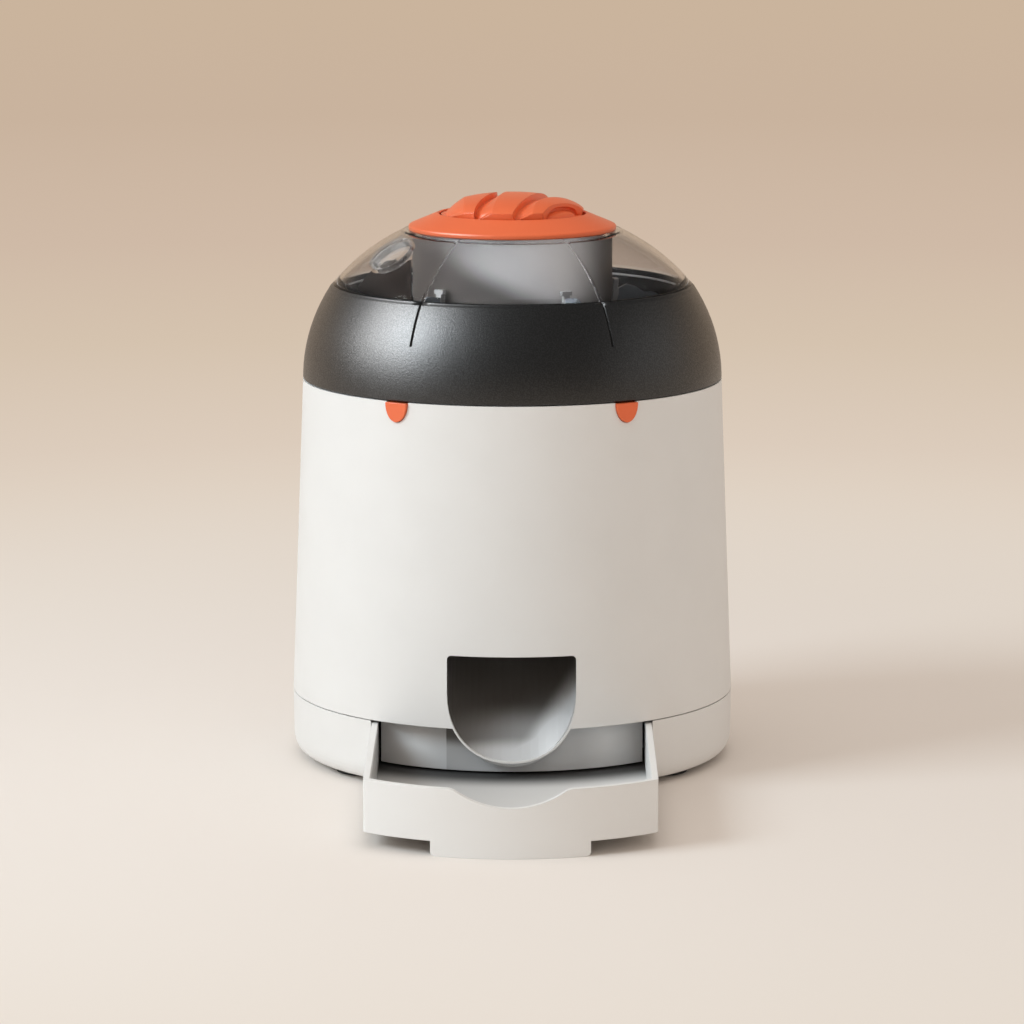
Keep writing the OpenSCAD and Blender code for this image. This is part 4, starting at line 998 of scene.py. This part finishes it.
@dataclass
class PaintedRimHighlight:
    """White bead along the hopper's inner rim, a painted highlight where light catches the rim, with its
    sizes in millimetres.
    """

    paint: Paint
    radius: float = 84.3
    height: float = 231.0
    section: float = 0.6

    def build(self) -> Any:
        """Make the bead of painted highlight.

        Returns:
            The piece.
        """
        bm = bmesh.new()
        upright = Matrix.Rotation(math.pi / 2, 4, "X")
        turn = Matrix.Translation(millimetres(self.radius, 0, self.height)) @ upright
        bmesh.ops.create_circle(bm, segments=12, radius=self.section * MILLIMETRE, matrix=turn)
        bmesh.ops.spin(bm, geom=bm.verts[:] + bm.edges[:], axis=(0, 0, 1), cent=(0, 0, 0),
                       angle=math.tau, steps=256, use_merge=True)
        piece = mesh_object("hopper_rim_painted_highlight", bm)
        # White, as a painted highlight where light catches the rim.
        self.paint.coat(piece, Look.WHITE)
        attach(piece, "root")
        return piece


@dataclass
class Studio:
    """Floor, light and camera as in the photograph, in metres, radians and watts.

    The spans of the world are parts of the direction that is looked in.
    """

    floor_radius: float = 30.0
    key_turn: float = math.radians(-64)
    key_rise: float = math.radians(33)
    key_distance: float = 2.2
    key_size: float = 0.9
    key_power: float = 23.5
    card_turn: float = math.radians(-77)
    card_rise: float = math.radians(33)
    card_size: float = 1.6
    card_power: float = 76.0
    key_colour: Colour = (0.86, 1.0, 1.09)
    fill_colour: Colour = (1.12, 1.0, 0.895)
    fill_strength: float = 0.58
    top_rise: float = math.radians(89)
    top_distance: float = 1.8
    top_size: float = 1.4
    top_power: float = 5.0
    top_colour: Colour = (1.0, 0.96, 0.92)
    aim_height: float = 0.14
    dark_room: float = 0.12
    side_room: float = 0.6
    behind: Span = (0.0, 0.6)
    beside: Span = (0.72, 0.95)
    low: Span = (0.5, 0.15)
    paper: Colour = (0.82, 0.77, 0.725)
    near_floor: float = 0.25
    far_floor: float = 0.9
    backdrop: tuple[tuple[float, str], ...] = (
        (0.0, "ece2d8"), (0.3, "e8dfd0"), (0.6, "e4d8ca"), (1.0, "dcccbc"), (1.55, "d5c3af"),
        (2.3, "cfbaa7"), (3.8, "c9b39e"), (6.0, "cab49d"))
    view_distance: float = 2.2
    view_height: float = 0.4994
    view_pitch: float = math.radians(9.791)
    view_turn: float = 0.0037
    lens: float = 158.32
    sensor: float = 36.0
    shift_x: float = -0.00033

    def build(self) -> None:
        """Make the whole studio."""
        self.floor()
        self.world()
        self.lamp("key", self.key_turn, self.key_rise, self.key_distance, self.key_size,
                  self.key_power, self.key_colour)
        card = self.lamp("gloss_card", self.card_turn, self.card_rise, self.key_distance,
                         self.card_size, self.card_power, (1.0, 1.0, 1.0))
        card.visible_diffuse = False
        top = self.lamp("top", 0.0, self.top_rise, self.top_distance, self.top_size,
                        self.top_power, self.top_colour)
        top.visible_glossy = False
        self.camera()

    def floor(self) -> Any:
        """Make the floor, whose colour deepens with distance.

        Returns:
            The floor.
        """
        bm = bmesh.new()
        bmesh.ops.create_circle(bm, cap_ends=True, radius=self.floor_radius, segments=96)
        piece = mesh_object("studio_floor", bm)
        s = Shader("floor_paper")
        away = s.length(s.place())
        paper = s.node("ShaderNodeBsdfPrincipled", {}, Base_Color=(*self.paper, 1), Roughness=0.9,
                       Specular_IOR_Level=0.1)
        tone: Any = colour_of(self.backdrop[0][1])
        for (near, _), (far, code) in zip(self.backdrop, self.backdrop[1:]):
            step = s.node("ShaderNodeMapRange", {}, away, From_Min=near, From_Max=far)
            tone = s.mix(step, tone, colour_of(code))
        glow = s.node("ShaderNodeEmission", {}, tone, 1.0)
        edge = s.step(away, self.near_floor, self.far_floor)
        s.finish(s.node("ShaderNodeMixShader", {}, edge * s.seen(), paper, glow))
        piece.data.materials.append(s.material)
        return piece

    def world(self) -> None:
        """Light from all round in the warm tone of the room."""
        world = bpy.data.worlds.new("room")
        world.use_nodes = True
        world.node_tree.nodes.clear()
        s = Shader.of_tree(world.node_tree)
        toward = s.node("ShaderNodeTexCoord", {}, out="Generated")
        across, along, up = s.axes(toward)
        shown = s.mix(s.step(across, *self.beside), (self.dark_room,) * 3, (self.side_room,) * 3)
        backdrop = s.step(along, *self.behind) * s.step(up, *self.low)
        shown = s.mix(backdrop, shown, colour_of(self.backdrop[-1][1]))
        fill = tuple(c * self.fill_strength for c in self.fill_colour)
        back = s.node("ShaderNodeBackground", {}, s.mix(s.seen(), fill, shown), 1.0)
        end = world.node_tree.nodes.new("ShaderNodeOutputWorld")
        world.node_tree.links.new(back.socket, end.inputs[0])
        bpy.context.scene.world = world

    def lamp(self, name: str, turn: float, rise: float, distance: float, size: float,
             power: float, colour: Colour) -> Any:
        """Add a square soft light that faces the object.

        Args:
            name: Name of the lamp.
            turn: Angle from the front, to the right.
            rise: Angle above the floor.
            distance: Distance from the object's middle.
            size: Side of the light.
            power: Power in watts.
            colour: Colour of the light.

        Returns:
            The lamp's object.
        """
        lamp = bpy.data.lights.new(name, "AREA")
        lamp.size = size
        lamp.energy = power
        lamp.color = colour
        thing = bpy.data.objects.new(name, lamp)
        bpy.context.scene.collection.objects.link(thing)
        out = Vector((math.sin(turn) * math.cos(rise), -math.cos(turn) * math.cos(rise), math.sin(rise)))
        thing.location = Vector((0, 0, self.aim_height)) + out * distance
        thing.rotation_euler = out.to_track_quat("Z", "Y").to_euler()
        return thing

    def camera(self) -> None:
        """Place the camera that the photograph was taken with."""
        lens = bpy.data.cameras.new("camera")
        lens.lens = self.lens
        lens.sensor_width = self.sensor
        lens.shift_x = self.shift_x
        thing = bpy.data.objects.new("camera", lens)
        bpy.context.scene.collection.objects.link(thing)
        thing.location = (self.view_distance * math.sin(self.view_turn),
                          -self.view_distance * math.cos(self.view_turn), self.view_height)
        thing.rotation_euler = (math.pi / 2 - self.view_pitch, 0, self.view_turn)
        bpy.context.scene.camera = thing


def mesh_object(name: str, bm: Any, crease: float = 32) -> Any:
    """Turn a bmesh into a linked object that shades smooth between its creases.

    Args:
        name: Name of the piece.
        bm: The bmesh, which is freed.
        crease: Angle in degrees above which an edge stays sharp.

    Returns:
        The object.
    """
    mesh = bpy.data.meshes.new(name)
    bmesh.ops.recalc_face_normals(bm, faces=bm.faces)
    bm.to_mesh(mesh)
    bm.free()
    mesh.polygons.foreach_set("use_smooth", [True] * len(mesh.polygons))
    mesh.set_sharp_from_angle(angle=math.radians(crease))
    thing = bpy.data.objects.new(name, mesh)
    bpy.context.scene.collection.objects.link(thing)
    return thing


def merged_copy(node: str) -> Any:
    """Copy a CAD node's mesh and join its loose triangles.

    Args:
        node: Name of the node.

    Returns:
        The copy.
    """
    bm = bmesh.new()
    bm.from_mesh(frame["nodes"][node].data)
    bmesh.ops.remove_doubles(bm, verts=bm.verts, dist=MERGE_DISTANCE)
    return mesh_object(f"{node}_form", bm)


def main() -> None:
    """Build the studio and dress the dispenser."""
    scene = bpy.context.scene
    scene.view_settings.view_transform = "Standard"
    paint = Paint()
    paint.coat_frame()
    makers = (
        RibbedButton(paint),
        PaintedRimHighlight(paint),
        LatchSpring(paint, "left"),
        LatchSpring(paint, "right"),
        TrueCurve(paint, "collar", Look.COLLAR, ((103.1, 90.0, 1), (100.7, 87.6, -1))),
        TrueCurve(paint, "dome", Look.CLEAR, ((104.98, 84.4, 1), (102.78, 82.2, -1))),
    )
    for maker in makers:
        piece = maker.build()
        LOG.info("%s: %d faces", piece.name, len(piece.data.polygons))
    Studio().build()


if __name__ == "__main__":
    main()
